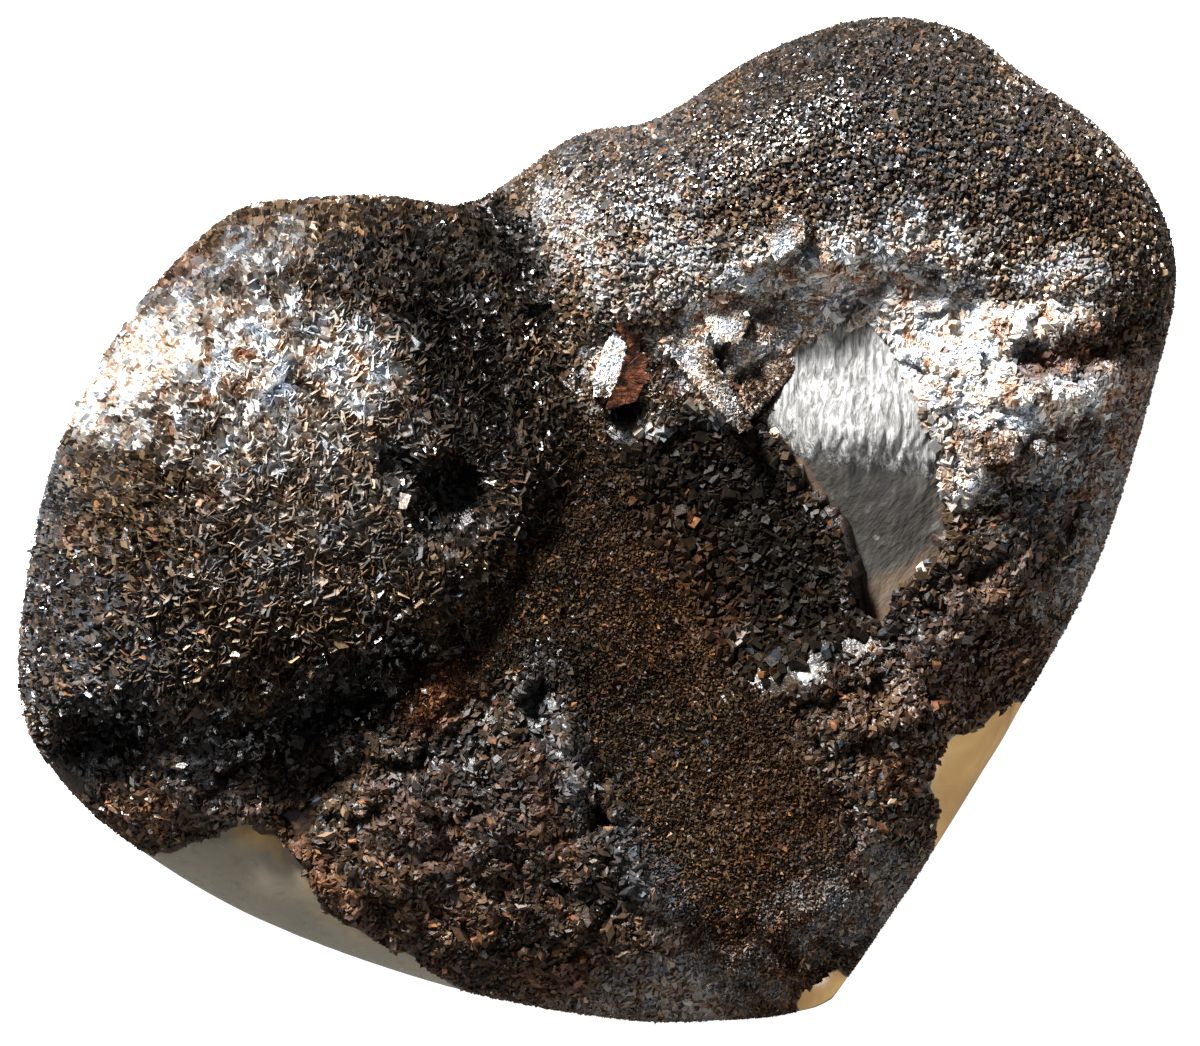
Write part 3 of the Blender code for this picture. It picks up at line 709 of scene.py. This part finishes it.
def onto_broken_edge(x, y):
    """Points that are near a broken edge of the crust, moved onto it, so that the edge isn't cut in steps."""
    gap, step = bareness(x, y), 0.05
    slope_x, slope_y = (bareness(x + step, y) - gap) / step, (bareness(x, y + step) - gap) / step
    depth = inset(x, y)
    spacing = np.sqrt(1 - (1 - np.clip(depth / 55, 0, 1))**2) * smooth_step((depth - 2) / 2)
    share = np.where(np.abs(gap) < 0.6 * spacing, gap, 0) / np.maximum(slope_x**2 + slope_y**2, 0.5)
    return x - share * slope_x, y - share * slope_y


def stain(spots, x, y):
    """How strong a stain is at each point: strongest in the middle of a spot, blotchy towards its edge."""
    strongest = np.zeros(x.shape)
    blotches = 0.6 * lumps(x, y, seed=9.2, scale=2.4) + 0.45 * lumps(x, y, seed=2.6, scale=0.8)
    for *middle, long, wide, turn, strength in spots:
        u, v = from_middle(x, y, middle, turn)
        away = np.hypot(u / long, v / wide)
        strongest = np.maximum(strongest, strength * smooth_step(1.35 - away + blotches))
    return strongest


# Colours of calcite by its shade, then where it is rusty, slate-blue or pale.
CALCITE_BROWNS = (
    (0.0, (0.004, 0.003, 0.002)), (0.2, (0.018, 0.011, 0.006)), (0.42, (0.050, 0.030, 0.015)),
    (0.7, (0.115, 0.074, 0.040)), (0.88, (0.22, 0.150, 0.088)), (1.0, (0.46, 0.37, 0.26)),
)
RUSTY_COLOURS = ((0.3, (0.030, 0.010, 0.005)), (0.55, (0.11, 0.040, 0.014)), (0.75, (0.32, 0.15, 0.055)))
SLATE_COLOURS = ((0.3, (0.012, 0.016, 0.021)), (0.6, (0.05, 0.062, 0.075)), (0.8, (0.17, 0.20, 0.24)))
PALE_COLOURS = (
    (0.32, (0.24, 0.085, 0.040)), (0.42, (0.46, 0.33, 0.24)), (0.5, (0.58, 0.55, 0.50)),
    (0.6, (0.54, 0.59, 0.66)), (0.72, (0.20, 0.24, 0.29)),
)


def calcite_group():
    """Colour and roughness of calcite from its shade and from how rusty, pale or slate-blue it is."""
    group = bpy.data.node_groups.new("calcite_colours", "ShaderNodeTree")
    for name in ("Shade", "Rusty", "Pale", "Slate"):
        group.interface.new_socket(name, in_out="INPUT", socket_type="NodeSocketFloat")
    group.interface.new_socket("Colour", in_out="OUTPUT", socket_type="NodeSocketColor")
    group.interface.new_socket("Roughness", in_out="OUTPUT", socket_type="NodeSocketFloat")
    nodes = Nodes(group)
    given = nodes.add("NodeGroupInput").outputs
    place = nodes.add("ShaderNodeTexCoord").outputs["Object"]
    fine = nodes.noise(place, 1400, 3)
    shade = nodes.plus(given["Shade"], nodes.times(nodes.math("SUBTRACT", fine, 0.5), 0.25))
    colour = nodes.ramp(shade, CALCITE_BROWNS)
    colour = nodes.mix(given["Slate"], colour, nodes.ramp(nodes.noise(place, 900, 3), SLATE_COLOURS))
    colour = nodes.mix(given["Pale"], colour, nodes.ramp(nodes.noise(place, 420, 5, 0.7), PALE_COLOURS))
    rust = nodes.ramp(nodes.noise(place, 700, 3), RUSTY_COLOURS)
    colour = nodes.mix(nodes.times(given["Rusty"], 0.85), colour, rust)
    rough = nodes.plus(nodes.plus(0.15, nodes.times(fine, 0.22)), nodes.times(given["Rusty"], 0.2))
    out = nodes.add("NodeGroupOutput")
    nodes.tree.links.new(colour, out.inputs["Colour"])
    nodes.tree.links.new(rough, out.inputs["Roughness"])
    return group


calcite_colours = calcite_group()


def calcite_material(name, gloss, dulled, bump_scale=2600, bump_depth=0.0001):
    """Calcite in the colours of its marks, with facets too small to model as bumps."""
    material, nodes, shader, place = new_material(name)
    calcite = nodes.add("ShaderNodeGroup", node_tree=calcite_colours)
    for label in ("Shade", "Rusty", "Pale", "Slate"):
        nodes.tree.links.new(nodes.attribute(label.lower()), calcite.inputs[label])
    facets = nodes.noise(place, bump_scale, 2, 0.6)
    shader.inputs["Specular IOR Level"].default_value = gloss
    shader.inputs["IOR"].default_value = 1.6
    nodes.tree.links.new(calcite.outputs["Colour"], shader.inputs["Base Color"])
    nodes.tree.links.new(nodes.plus(calcite.outputs["Roughness"], dulled), shader.inputs["Roughness"])
    nodes.tree.links.new(nodes.bump(facets, 0.8, bump_depth), shader.inputs["Normal"])
    return material


def fibre_material(name, turn, stretch, colours, gloss=0.5):
    """A broken edge of the crust: fibres of calcite that lie turned by these degrees and drawn out."""
    material, nodes, shader, place = new_material(name)
    fibres = nodes.noise(nodes.laid_along(place, turn, stretch), 1600, 4, 0.6)
    shader.inputs["Specular IOR Level"].default_value = gloss
    nodes.tree.links.new(nodes.ramp(fibres, colours), shader.inputs["Base Color"])
    nodes.tree.links.new(nodes.plus(0.35, nodes.times(fibres, 0.3)), shader.inputs["Roughness"])
    nodes.tree.links.new(nodes.bump(fibres, 0.8, 0.0005), shader.inputs["Normal"])
    return material


CRUST_SEGMENTS = 110
crust_ball = stone_ball(CRUST_SEGMENTS)
uncrusted = [face for face in crust_ball.faces if face.calc_center_median().z < 0]
bmesh.ops.delete(crust_ball, geom=uncrusted, context="FACES")
place_on_heart(crust_ball, crust_height, onto_broken_edge)
middles = np.array([face.calc_center_median() for face in crust_ball.faces]) / MM
bare = bareness(middles[:, 0], middles[:, 1]) > 0
broken_off = [face for face, gone in zip(crust_ball.faces[:], bare) if gone]
bmesh.ops.delete(crust_ball, geom=broken_off, context="FACES")

# Squares that shrank to nearly nothing at the cut edges are merged, less at the girth, and loose ones go.
bmesh.ops.remove_doubles(crust_ball, verts=crust_ball.verts, dist=0.05 * MM)
above_girth = [vert for vert in crust_ball.verts if vert.co.z > (GIRTH_HEIGHT + 1.2) * MM]
bmesh.ops.remove_doubles(crust_ball, verts=above_girth, dist=0.2 * MM)
crumbs = [face for face in crust_ball.faces if sum(len(edge.link_faces) > 1 for edge in face.edges) < 2]
bmesh.ops.delete(crust_ball, geom=crumbs, context="FACES")

crust_calcite = calcite_material("crust_calcite", gloss=0.25, dulled=0.15, bump_scale=1500, bump_depth=0.0004)
crust = piece_from(crust_ball, "crust", crust_calcite)
# The broken edge's fibres are nearly black. This is partly their own dark red-brown and partly painted shade
# in the gap where the crust's edge meets the bare stone.
broken_crust_edge = fibre_material("broken_crust_edge", 0, (1, 1, 5), (
    (0.3, (0.007, 0.004, 0.003)), (0.5, (0.016, 0.008, 0.005)), (0.65, (0.045, 0.022, 0.012)),
    (0.8, (0.15, 0.10, 0.06)),
))
crust.data.materials.append(broken_crust_edge)

# The crystals find their places on the crust's skin, so it is read before it gets its thickness.
crust.data.calc_loop_triangles()
skin_points = points_of(crust.data)
skin = skin_points, np.array([triangle.vertices for triangle in crust.data.loop_triangles])

random = np.random.default_rng(5)
x, y, _ = skin_points.T
# The skin is made darker in pits and in the shade spots, as painted shade, and has no pale or slate colour in
# pits.
in_pit = pit_share(x, y)
rim = 1 - smooth_step(inset(x, y) / 1.6)
in_painted_shade = np.maximum(in_pit, 0.7 * stain(SHADE_AND_DARK_CRYSTALS, x, y))
mark(crust.data, "shade", random.uniform(0.0, 0.45, len(x)) * (1 - in_painted_shade))
mark(crust.data, "rusty", np.maximum(0.8 * stain(RUSTY, x, y), 0.25 * rim))
for label, spots in (("pale", PALE_AND_PAINTED_LIGHT), ("slate", SLATE_AND_SHEEN)):
    mark(crust.data, label, 0.8 * stain(spots, x, y) * (1 - rim) * (1 - in_pit))
thickness = crust.modifiers.new("Thickness", "SOLIDIFY")
thickness.thickness = CRUST_THICKNESS * MM
thickness.offset = -1
thickness.material_offset_rim = 1
crust.data.shade_smooth()
crust.data.set_sharp_from_angle(angle=math.radians(35))

# The druse.
# Crystals of dark calcite that grew all over the crust: thin blades on the left lobe, blunt grains on the
# right one, fine points in the hollow, coarse rhombs where it is deepest, and splinters on the split crust.

LEFT_DRUSE = (
    (-64, 10), (-50, 5.5), (-42, 2.5), (-34, -1), (-28, -2), (-20, 1), (-12, 5), (-4, 8), (1, 16), (3, 24),
    (4, 42), (-5, 50), (-40, 50), (-66, 20),
)
RIGHT_DRUSE = (
    (3, 42), (3, 22), (11, 19), (20, 19), (26, 22), (36, 15), (42, 5), (50, 0.5), (59, -5), (66, 5), (60, 40),
    (30, 44),
)
LEDGE = (
    (3, 12), (14, 6), (18, 6), (32, 6), (40, 4), (46, 0), (40, 12), (30, 18), (30, 24), (20, 24), (14, 20),
    (3, 22),
)
BRIGHT_CRUST = (
    (24, 10), (31, 10), (31, -4), (33, -10), (40, -11), (48, -8), (52, -2), (50, 4), (42, 10), (36, 16),
    (28, 20), (24, 16),
)
LOWER_LIP = ((-64, 12), (-64, 0), (-50, -3), (-30, -6), (-18, 0), (-28, 3), (-44, 8), (-54, 12))
FINE_DRUSE = (
    (-34, -1), (-28, -2), (-20, 1), (-12, 5), (-4, 8), (1, 16), (2.5, 12), (3, 4), (3, -16), (5.5, -20),
    (5, -34), (2, -50), (-14, -50), (-14.5, -33), (-12.5, -20), (-13.5, -6), (-19, -3.5), (-27, -5),
)


def blade():
    """A thin crystal standing on its edge and drawn in to a sharp top, 1 mm each way before it is sized."""
    shape = bmesh.new()
    bmesh.ops.create_cube(shape, size=1)
    top = [vert for vert in shape.verts if vert.co.z > 0]
    bmesh.ops.scale(shape, vec=(0.75, 0, 1), verts=top)
    bmesh.ops.remove_doubles(shape, verts=shape.verts, dist=0.001)
    bmesh.ops.scale(shape, vec=(1.5, 0.6, 1), verts=shape.verts)
    return shape


def corner():
    """The corner of a rhomb: three flat faces that meet in a point."""
    shape = bmesh.new()
    bmesh.ops.create_cone(shape, cap_ends=True, segments=3, radius1=0.7, radius2=0.0, depth=1)
    bmesh.ops.remove_doubles(shape, verts=shape.verts, dist=0.001)
    return shape


def blunt_corner():
    """The corner of a rhomb with a flat face across its point."""
    shape = bmesh.new()
    bmesh.ops.create_cone(shape, cap_ends=True, segments=3, radius1=0.7, radius2=0.3, depth=1)
    return shape


def rhomb():
    """A squat rhomb of calcite, standing on one corner."""
    shape = bmesh.new()
    bmesh.ops.create_cube(shape, size=0.8)
    bmesh.ops.scale(shape, vec=(1, 1, 0.8), verts=shape.verts)
    turn = Vector((1, 1, 0.9)).rotation_difference(Vector((0, 0, 1))).to_matrix()
    bmesh.ops.rotate(shape, matrix=turn, verts=shape.verts)
    return shape


def splinter():
    """A flat chip with one end broken narrower."""
    shape = bmesh.new()
    bmesh.ops.create_cone(shape, cap_ends=True, segments=4, radius1=0.62, radius2=0.44, depth=0.5)
    bmesh.ops.scale(shape, vec=(1, 0.55, 1), verts=shape.verts)
    return shape


# How far a crystal's middle stands out of the crust, as a share of its height.
MIDDLE_RAISED = 0.15


def grow(name, material, surface, shape, region, count, size, stretch, lean, seed, shades):
    """Joins many copies of one crystal into a piece, rooted at random places of the surface in the region."""
    random = np.random.default_rng(seed)
    points, triangles = surface
    a, b, c = (points[triangles[:, corner]] for corner in range(3))
    across = np.cross(b - a, c - a)
    area = np.linalg.norm(across, axis=1)
    centre_x, centre_y, _ = ((a + b + c) / 3).T
    pit = pit_share(centre_x, centre_y)
    inside = region(centre_x, centre_y) * (1 - 0.6 * pit) * (across[:, 2] > 0)
    chosen = random.choice(len(triangles), count, p=area * inside / (area * inside).sum())
    u, v = random.uniform(0, 1, (2, count))
    u, v = np.where(u + v > 1, 1 - u, u), np.where(u + v > 1, 1 - v, v)
    root = a[chosen] + u[:, None] * (b - a)[chosen] + v[:, None] * (c - a)[chosen]

    up = across[chosen] / np.maximum(area[chosen], 1e-9)[:, None] + random.normal(0, lean, (count, 3))
    up /= np.linalg.norm(up, axis=1)[:, None]
    side = np.cross(up, random.normal(0, 1, (count, 3)))
    side /= np.linalg.norm(side, axis=1)[:, None]
    turn = np.stack([side, np.cross(up, side), up], axis=2)

    # Crystals are smaller near the outline, so that they don't stand out past it.
    room = inset(centre_x, centre_y) / size + 0.7
    grown = size * np.exp(random.normal(0, 0.2, count)) * np.clip(room[chosen] / 2.5, 0.1, 1)
    sizes = grown[:, None] * np.array(stretch) * np.exp(random.normal(0, 0.15, (count, 3)))

    pattern = shape()
    bmesh.ops.triangulate(pattern, faces=pattern.faces)
    pattern.verts.index_update()
    corner = np.array([vert.co for vert in pattern.verts])
    face = np.array([[vert.index for vert in one.verts] for one in pattern.faces])
    pattern.free()
    raised = np.array([0, 0, MIDDLE_RAISED])
    points = np.einsum("nij,nkj->nki", turn, (corner[None] + raised) * sizes[:, None, :]) + root[:, None]
    faces = face[None] + (np.arange(count) * len(corner))[:, None, None]

    mesh = bpy.data.meshes.new(name)
    mesh.vertices.add(count * len(corner))
    mesh.vertices.foreach_set("co", (points * MM).astype(np.float32).ravel())
    mesh.loops.add(faces.size)
    mesh.loops.foreach_set("vertex_index", faces.astype(np.int32).ravel())
    mesh.polygons.add(count * len(face))
    mesh.polygons.foreach_set("loop_start", np.arange(0, faces.size, 3, dtype=np.int32))
    mesh.update(calc_edges=True)
    mesh.shade_flat()

    # Each crystal has a small square of its own on the map, as one colour nearly covers it.
    row = math.ceil(math.sqrt(count))
    cell = np.stack([np.arange(count) % row, np.arange(count) // row], axis=-1) / row
    triangle = np.array([(0.2, 0.2), (0.8, 0.2), (0.5, 0.8)]) / row
    on_map = cell[:, None, None] + triangle[None, None] + np.zeros((count, len(face), 3, 2))
    mesh.uv_layers.new(name="OFBake").data.foreach_set("uv", on_map.astype(np.float32).ravel())

    def each(values):
        return np.repeat(values, len(corner))

    # Crystals are darker in pits and in the shade spots, as painted shade, and a few odd ones are slate-blue
    # or rusty anywhere.
    root_x, root_y, _ = root.T
    dark = (1 - 0.75 * smooth_step(1.5 * pit[chosen])) * (1 - 0.9 * stain(SHADE_AND_DARK_CRYSTALS, root_x, root_y))
    mark(mesh, "shade", each(shades(random, count) * dark))
    for label, spots, least, odd, stays in (
            ("pale", PALE_AND_PAINTED_LIGHT, 0.7, 0.0, 0), ("slate", SLATE_AND_SHEEN, 0.2, 0.02, 0), ("rusty", RUSTY, 0.2, 0.04, 1)):
        share = stain(spots, root_x, root_y) * random.uniform(least, 1.0, count) * np.maximum(dark, stays)
        mark(mesh, label, each(np.maximum(share, (random.uniform(0, 1, count) < odd) * dark)))
    return finished_piece(name, mesh, material)


def in_patch(*polygons):
    """A test of which places are in one of the polygons, with a soft edge."""
    def region(x, y):
        return smooth_step(deepest_in(polygons, x, y) / 3 + 0.5)
    return region


def along_window(x, y):
    """A test of which places are at the edge of the broken window."""
    return smooth_step(1.5 - np.abs(depth_in(LIMESTONE_WINDOW, x, y)) / 0.8) * (y < 4)


def mostly_dark(random, count):
    """Shades of mostly dark crystals, with a few that are brown and fewer that are cream."""
    return np.clip(random.beta(2.0, 3.4, count) + (random.uniform(0, 1, count) > 0.96) * 0.45, 0, 1)


def darker(random, count):
    return np.clip(0.8 * random.beta(1.6, 4.0, count) + (random.uniform(0, 1, count) > 0.99) * 0.6, 0, 1)


def darkest(random, count):
    return 0.3 * random.beta(1.2, 4.0, count)


bright_calcite = calcite_material("bright_calcite", gloss=0.6, dulled=0.04)
dull_calcite = calcite_material("dull_calcite", gloss=0.13, dulled=0.22)
black_calcite = calcite_material("black_calcite", gloss=0.04, dulled=0.22)
grow("druse_left_lobe", bright_calcite, skin, blade, in_patch(LEFT_DRUSE), count=21500,
     size=0.56, stretch=(1.0, 1.0, 1.5), lean=0.2, seed=31, shades=mostly_dark)
grow("druse_right_lobe", bright_calcite, skin, blunt_corner, in_patch(RIGHT_DRUSE), count=20000,
     size=0.68, stretch=(1.0, 0.8, 1.0), lean=0.22, seed=32, shades=mostly_dark)
grow("druse_hollow", black_calcite, skin, corner, in_patch(FINE_DRUSE), count=21000,
     size=0.58, stretch=(1.0, 0.8, 1.0), lean=0.4, seed=33, shades=darker)
grow("coarse_crystals", black_calcite, skin, rhomb, in_patch(COARSE_HOLLOW), count=3000,
     size=0.84, stretch=(1.0, 1.0, 1.1), lean=0.5, seed=34, shades=darkest)
grow("window_edge_crystals", dull_calcite, skin, rhomb, along_window, count=900,
     size=0.8, stretch=(1.0, 1.0, 1.0), lean=0.5, seed=40, shades=darker)
grow("crust_splinters", dull_calcite, skin, splinter, in_patch(BROKEN_LEFT, BROKEN_RIGHT), count=6200,
     size=0.78, stretch=(1.3, 1.0, 1.0), lean=0.35, seed=35, shades=darker)
grow("crust_grains", dull_calcite, skin, corner, in_patch(BROKEN_LEFT, BROKEN_RIGHT, LEDGE), count=20500,
     size=0.52, stretch=(1.0, 0.9, 1.1), lean=0.5, seed=36, shades=darker)
grow("ledge_chips", bright_calcite, skin, splinter, in_patch(LEDGE, LOWER_LIP), count=1000,
     size=0.8, stretch=(1.3, 1.0, 1.0), lean=0.4, seed=37, shades=mostly_dark)
grow("ledge_grains", bright_calcite, skin, corner, in_patch(LEDGE, BRIGHT_CRUST), count=21000,
     size=0.43, stretch=(1.3, 0.7, 0.9), lean=0.5, seed=39, shades=mostly_dark)

# The loose-looking fragments.
# Pieces of the crust that broke along the ledge and stayed on it, one of them pale on top and red-brown
# on the side where it is torn across its fibres.

# The pale fragment's top and the torn side that falls from it to the right, anticlockwise in millimetres.
PALE_TOP = ((3.2, 15.5), (4.7, 14.7), (6.6, 16.1), (8.6, 18.4), (8.4, 20.3), (6.4, 19.6), (4.1, 17.2))
TORN_SIDE = (
    (4.5, 14.8), (3.5, 13.8), (5.6, 13.3), (6.8, 13.0), (8.3, 14.1), (9.2, 14.3), (9.9, 16.2), (9.6, 17.3),
    (10.2, 18.6), (9.5, 20.4), (8.9, 21.8), (8.3, 20.3), (8.4, 18.3), (6.4, 16.3),
)

# Each fragment's corners, then its rise, slopes along x and y and depth.
FRAGMENTS = (
    (PALE_TOP, 1.4, 0.05, -0.1, 3.0),
    (TORN_SIDE, 1.25, -0.32, 0.28, 3.0),
    (((11.4, 19.6), (12.3, 14.6), (13.4, 10.0), (14.4, 5.8), (15.4, 5.6), (15.3, 8.6), (15.2, 13.0),
      (16.2, 17.4), (14.0, 20.2)), 0.6, 0.02, -0.2, 3.0),
    (((15.7, 6.5), (18.7, 7.4), (21.4, 8.4), (22.7, 9.9), (21.1, 11.0), (18.1, 12.0), (17.0, 9.8),
      (15.2, 8.4)), 1.2, 0.05, -0.2, 3.4),
    (((16.4, 14.6), (18.4, 13.6), (20.2, 15.0), (20.4, 18.4), (17.8, 19.9), (16.6, 18.1)),
     0.4, -0.1, -0.3, 2.4),
    (((25.0, 18.7), (28.6, 19.3), (29.6, 21.4), (27.4, 22.6), (25.2, 21.4)), 0.4, 0.2, -0.3, 2.4),
    (((32.6, 9.0), (37.0, 7.0), (39.6, 7.6), (38.0, 10.4), (33.8, 12.0)), 0.3, -0.2, -0.35, 2.6),
    (((33.6, 0.4), (37.2, -0.6), (39.0, 2.2), (36.6, 4.6), (33.9, 3.4)), 0.3, 0.15, -0.3, 2.6),
    (((31.8, -7.6), (36.4, -9.2), (38.2, -7.0), (34.6, -4.8), (32.2, -5.2)), 0.3, 0.1, -0.35, 2.4),
)


def lay_fragment(stone, corners, rise, slope_x, slope_y, depth, seed):
    """Adds one fragment: its bottom face, pushed up by its thickness, with edges that aren't straight."""
    ring = np.array(corners)
    middle = ring.mean(axis=0)
    bottom = GIRTH_HEIGHT + crust_height(middle[:1], middle[1:])[0] + rise - depth
    heights = bottom + slope_x * (ring[:, 0] - middle[0]) + slope_y * (ring[:, 1] - middle[1])
    before = len(stone.verts)
    verts = [stone.verts.new(Vector((*corner, height)) * MM) for corner, height in zip(corners, heights)]
    pushed = bmesh.ops.extrude_discrete_faces(stone, faces=[stone.faces.new(verts)])
    stone.faces.new(verts[::-1])
    bmesh.ops.translate(stone, vec=Vector((0, 0, depth * MM)), verts=pushed["faces"][0].verts)
    made = set(stone.verts[:][before:])
    faces = [face for face in stone.faces if face.verts[0] in made]
    bmesh.ops.recalc_face_normals(stone, faces=faces)
    bmesh.ops.triangulate(stone, faces=faces)
    edges = [edge for edge in stone.edges if edge.verts[0] in made]
    bmesh.ops.subdivide_edges(stone, edges=edges, cuts=3, fractal=0.6, along_normal=0.6, seed=seed)


stone = bmesh.new()
for number, fragment in enumerate(FRAGMENTS):
    lay_fragment(stone, *fragment, number)
fragments = piece_from(stone, "fragments", crust_calcite)
torn_fibres = fibre_material("torn_fibres", -38, (2.6, 0.6, 0.6), (
    (0.38, (0.012, 0.004, 0.002)), (0.5, (0.045, 0.013, 0.005)), (0.62, (0.10, 0.032, 0.012)),
    (0.78, (0.22, 0.085, 0.030)),
), gloss=0.15)
fragments.data.materials.append(broken_crust_edge)
fragments.data.materials.append(torn_fibres)
points = points_of(fragments.data)
x, y, _ = points.T
pale_top = depth_in(PALE_TOP, x, y) > -0.3
torn_side = depth_in(TORN_SIDE, x, y) > -0.3
for face in fragments.data.polygons:
    face.material_index = 2 if torn_side[list(face.vertices)].all() else int(face.normal.z < 0.5)
mark(fragments.data, "shade", random.uniform(0.2, 0.7, len(points)))
mark(fragments.data, "pale", np.maximum(pale_top, 0.9 * stain(PALE_AND_PAINTED_LIGHT, x, y)))
mark(fragments.data, "slate", stain(SLATE_AND_SHEEN, x, y))
mark(fragments.data, "rusty", 0.8 * stain(RUSTY, x, y) * ~pale_top)

# Small grains grow on the fragments' tops, which have the crust's own material.
fragments.data.calc_loop_triangles()
tops = [triangle.vertices for triangle in fragments.data.loop_triangles if triangle.material_index == 0]
grow("fragment_grains", bright_calcite, (points, np.array(tops)), corner,
     in_patch(((0, -20), (60, -20), (60, 30), (0, 30))), count=4500,
     size=0.4, stretch=(1.0, 0.9, 1.0), lean=0.4, seed=38, shades=mostly_dark)

# The table top, the lights and the camera.
# A plain pale floor, one soft lamp from above the lobes and a weaker one from the side.
# The camera looks straight down on the face, turned so that the heart leans as it lies on the table.

LEAN = math.radians(28)


def lay_floor():
    sheet = bmesh.new()
    bmesh.ops.create_grid(sheet, x_segments=1, y_segments=1, size=3)
    mesh = bpy.data.meshes.new("floor")
    sheet.to_mesh(mesh)
    sheet.free()
    floor = bpy.data.objects.new("floor", mesh)
    bpy.context.scene.collection.objects.link(floor)
    material = bpy.data.materials.new("pale_floor")
    material.use_nodes = True
    shader = material.node_tree.nodes["Principled BSDF"]
    shader.inputs["Base Color"].default_value = (0.35, 0.35, 0.35, 1)
    shader.inputs["Roughness"].default_value = 0.9
    shader.inputs["Emission Color"].default_value = (1, 1, 1, 1)
    shader.inputs["Emission Strength"].default_value = 0.9
    mesh.materials.append(material)
    floor.visible_glossy = False


def in_picture(right, up, height):
    """A direction or place given as it looks in the camera's picture, in the heart's own frame."""
    c, s = math.cos(LEAN), math.sin(LEAN)
    return Vector((c * right + s * up, c * up - s * right, height))


def hang_lamp(name, place, size, power):
    lamp = bpy.data.lights.new(name, "AREA")
    lamp.shape = "DISK"
    lamp.size = size
    lamp.energy = power
    made = bpy.data.objects.new(name, lamp)
    made.location = place
    made.rotation_euler = place.to_track_quat("Z", "Y").to_euler()
    bpy.context.scene.collection.objects.link(made)


lay_floor()
hang_lamp("key_lamp", in_picture(-0.46, 0.78, 0.54), size=0.2, power=84)
hang_lamp("side_lamp", in_picture(-0.95, 0.1, 0.45), size=0.4, power=3)
hang_lamp("fill_lamp", in_picture(0.68, -0.66, 0.4), size=0.4, power=7)

world = bpy.data.worlds.new("studio")
world.use_nodes = True
world.node_tree.nodes["Background"].inputs["Color"].default_value = (0.95, 0.97, 1.0, 1)
world.node_tree.nodes["Background"].inputs["Strength"].default_value = 0.19
bpy.context.scene.world = world
bpy.context.scene.view_settings.view_transform = "Standard"

LENS = 250
SENSOR = 36
PICTURE_WIDTH = 0.1197
picture_middle = in_picture(-0.00375, 0.00285, 0)
camera_height = GIRTH_HEIGHT * MM + PICTURE_WIDTH * LENS / SENSOR
lens = bpy.data.cameras.new("camera")
lens.lens = LENS
lens.sensor_width = SENSOR
lens.clip_start = 0.01
camera = bpy.data.objects.new("camera", lens)
camera.location = (picture_middle.x, picture_middle.y, camera_height)
camera.rotation_euler = (0, 0, -LEAN)
bpy.context.scene.collection.objects.link(camera)
bpy.context.scene.camera = camera
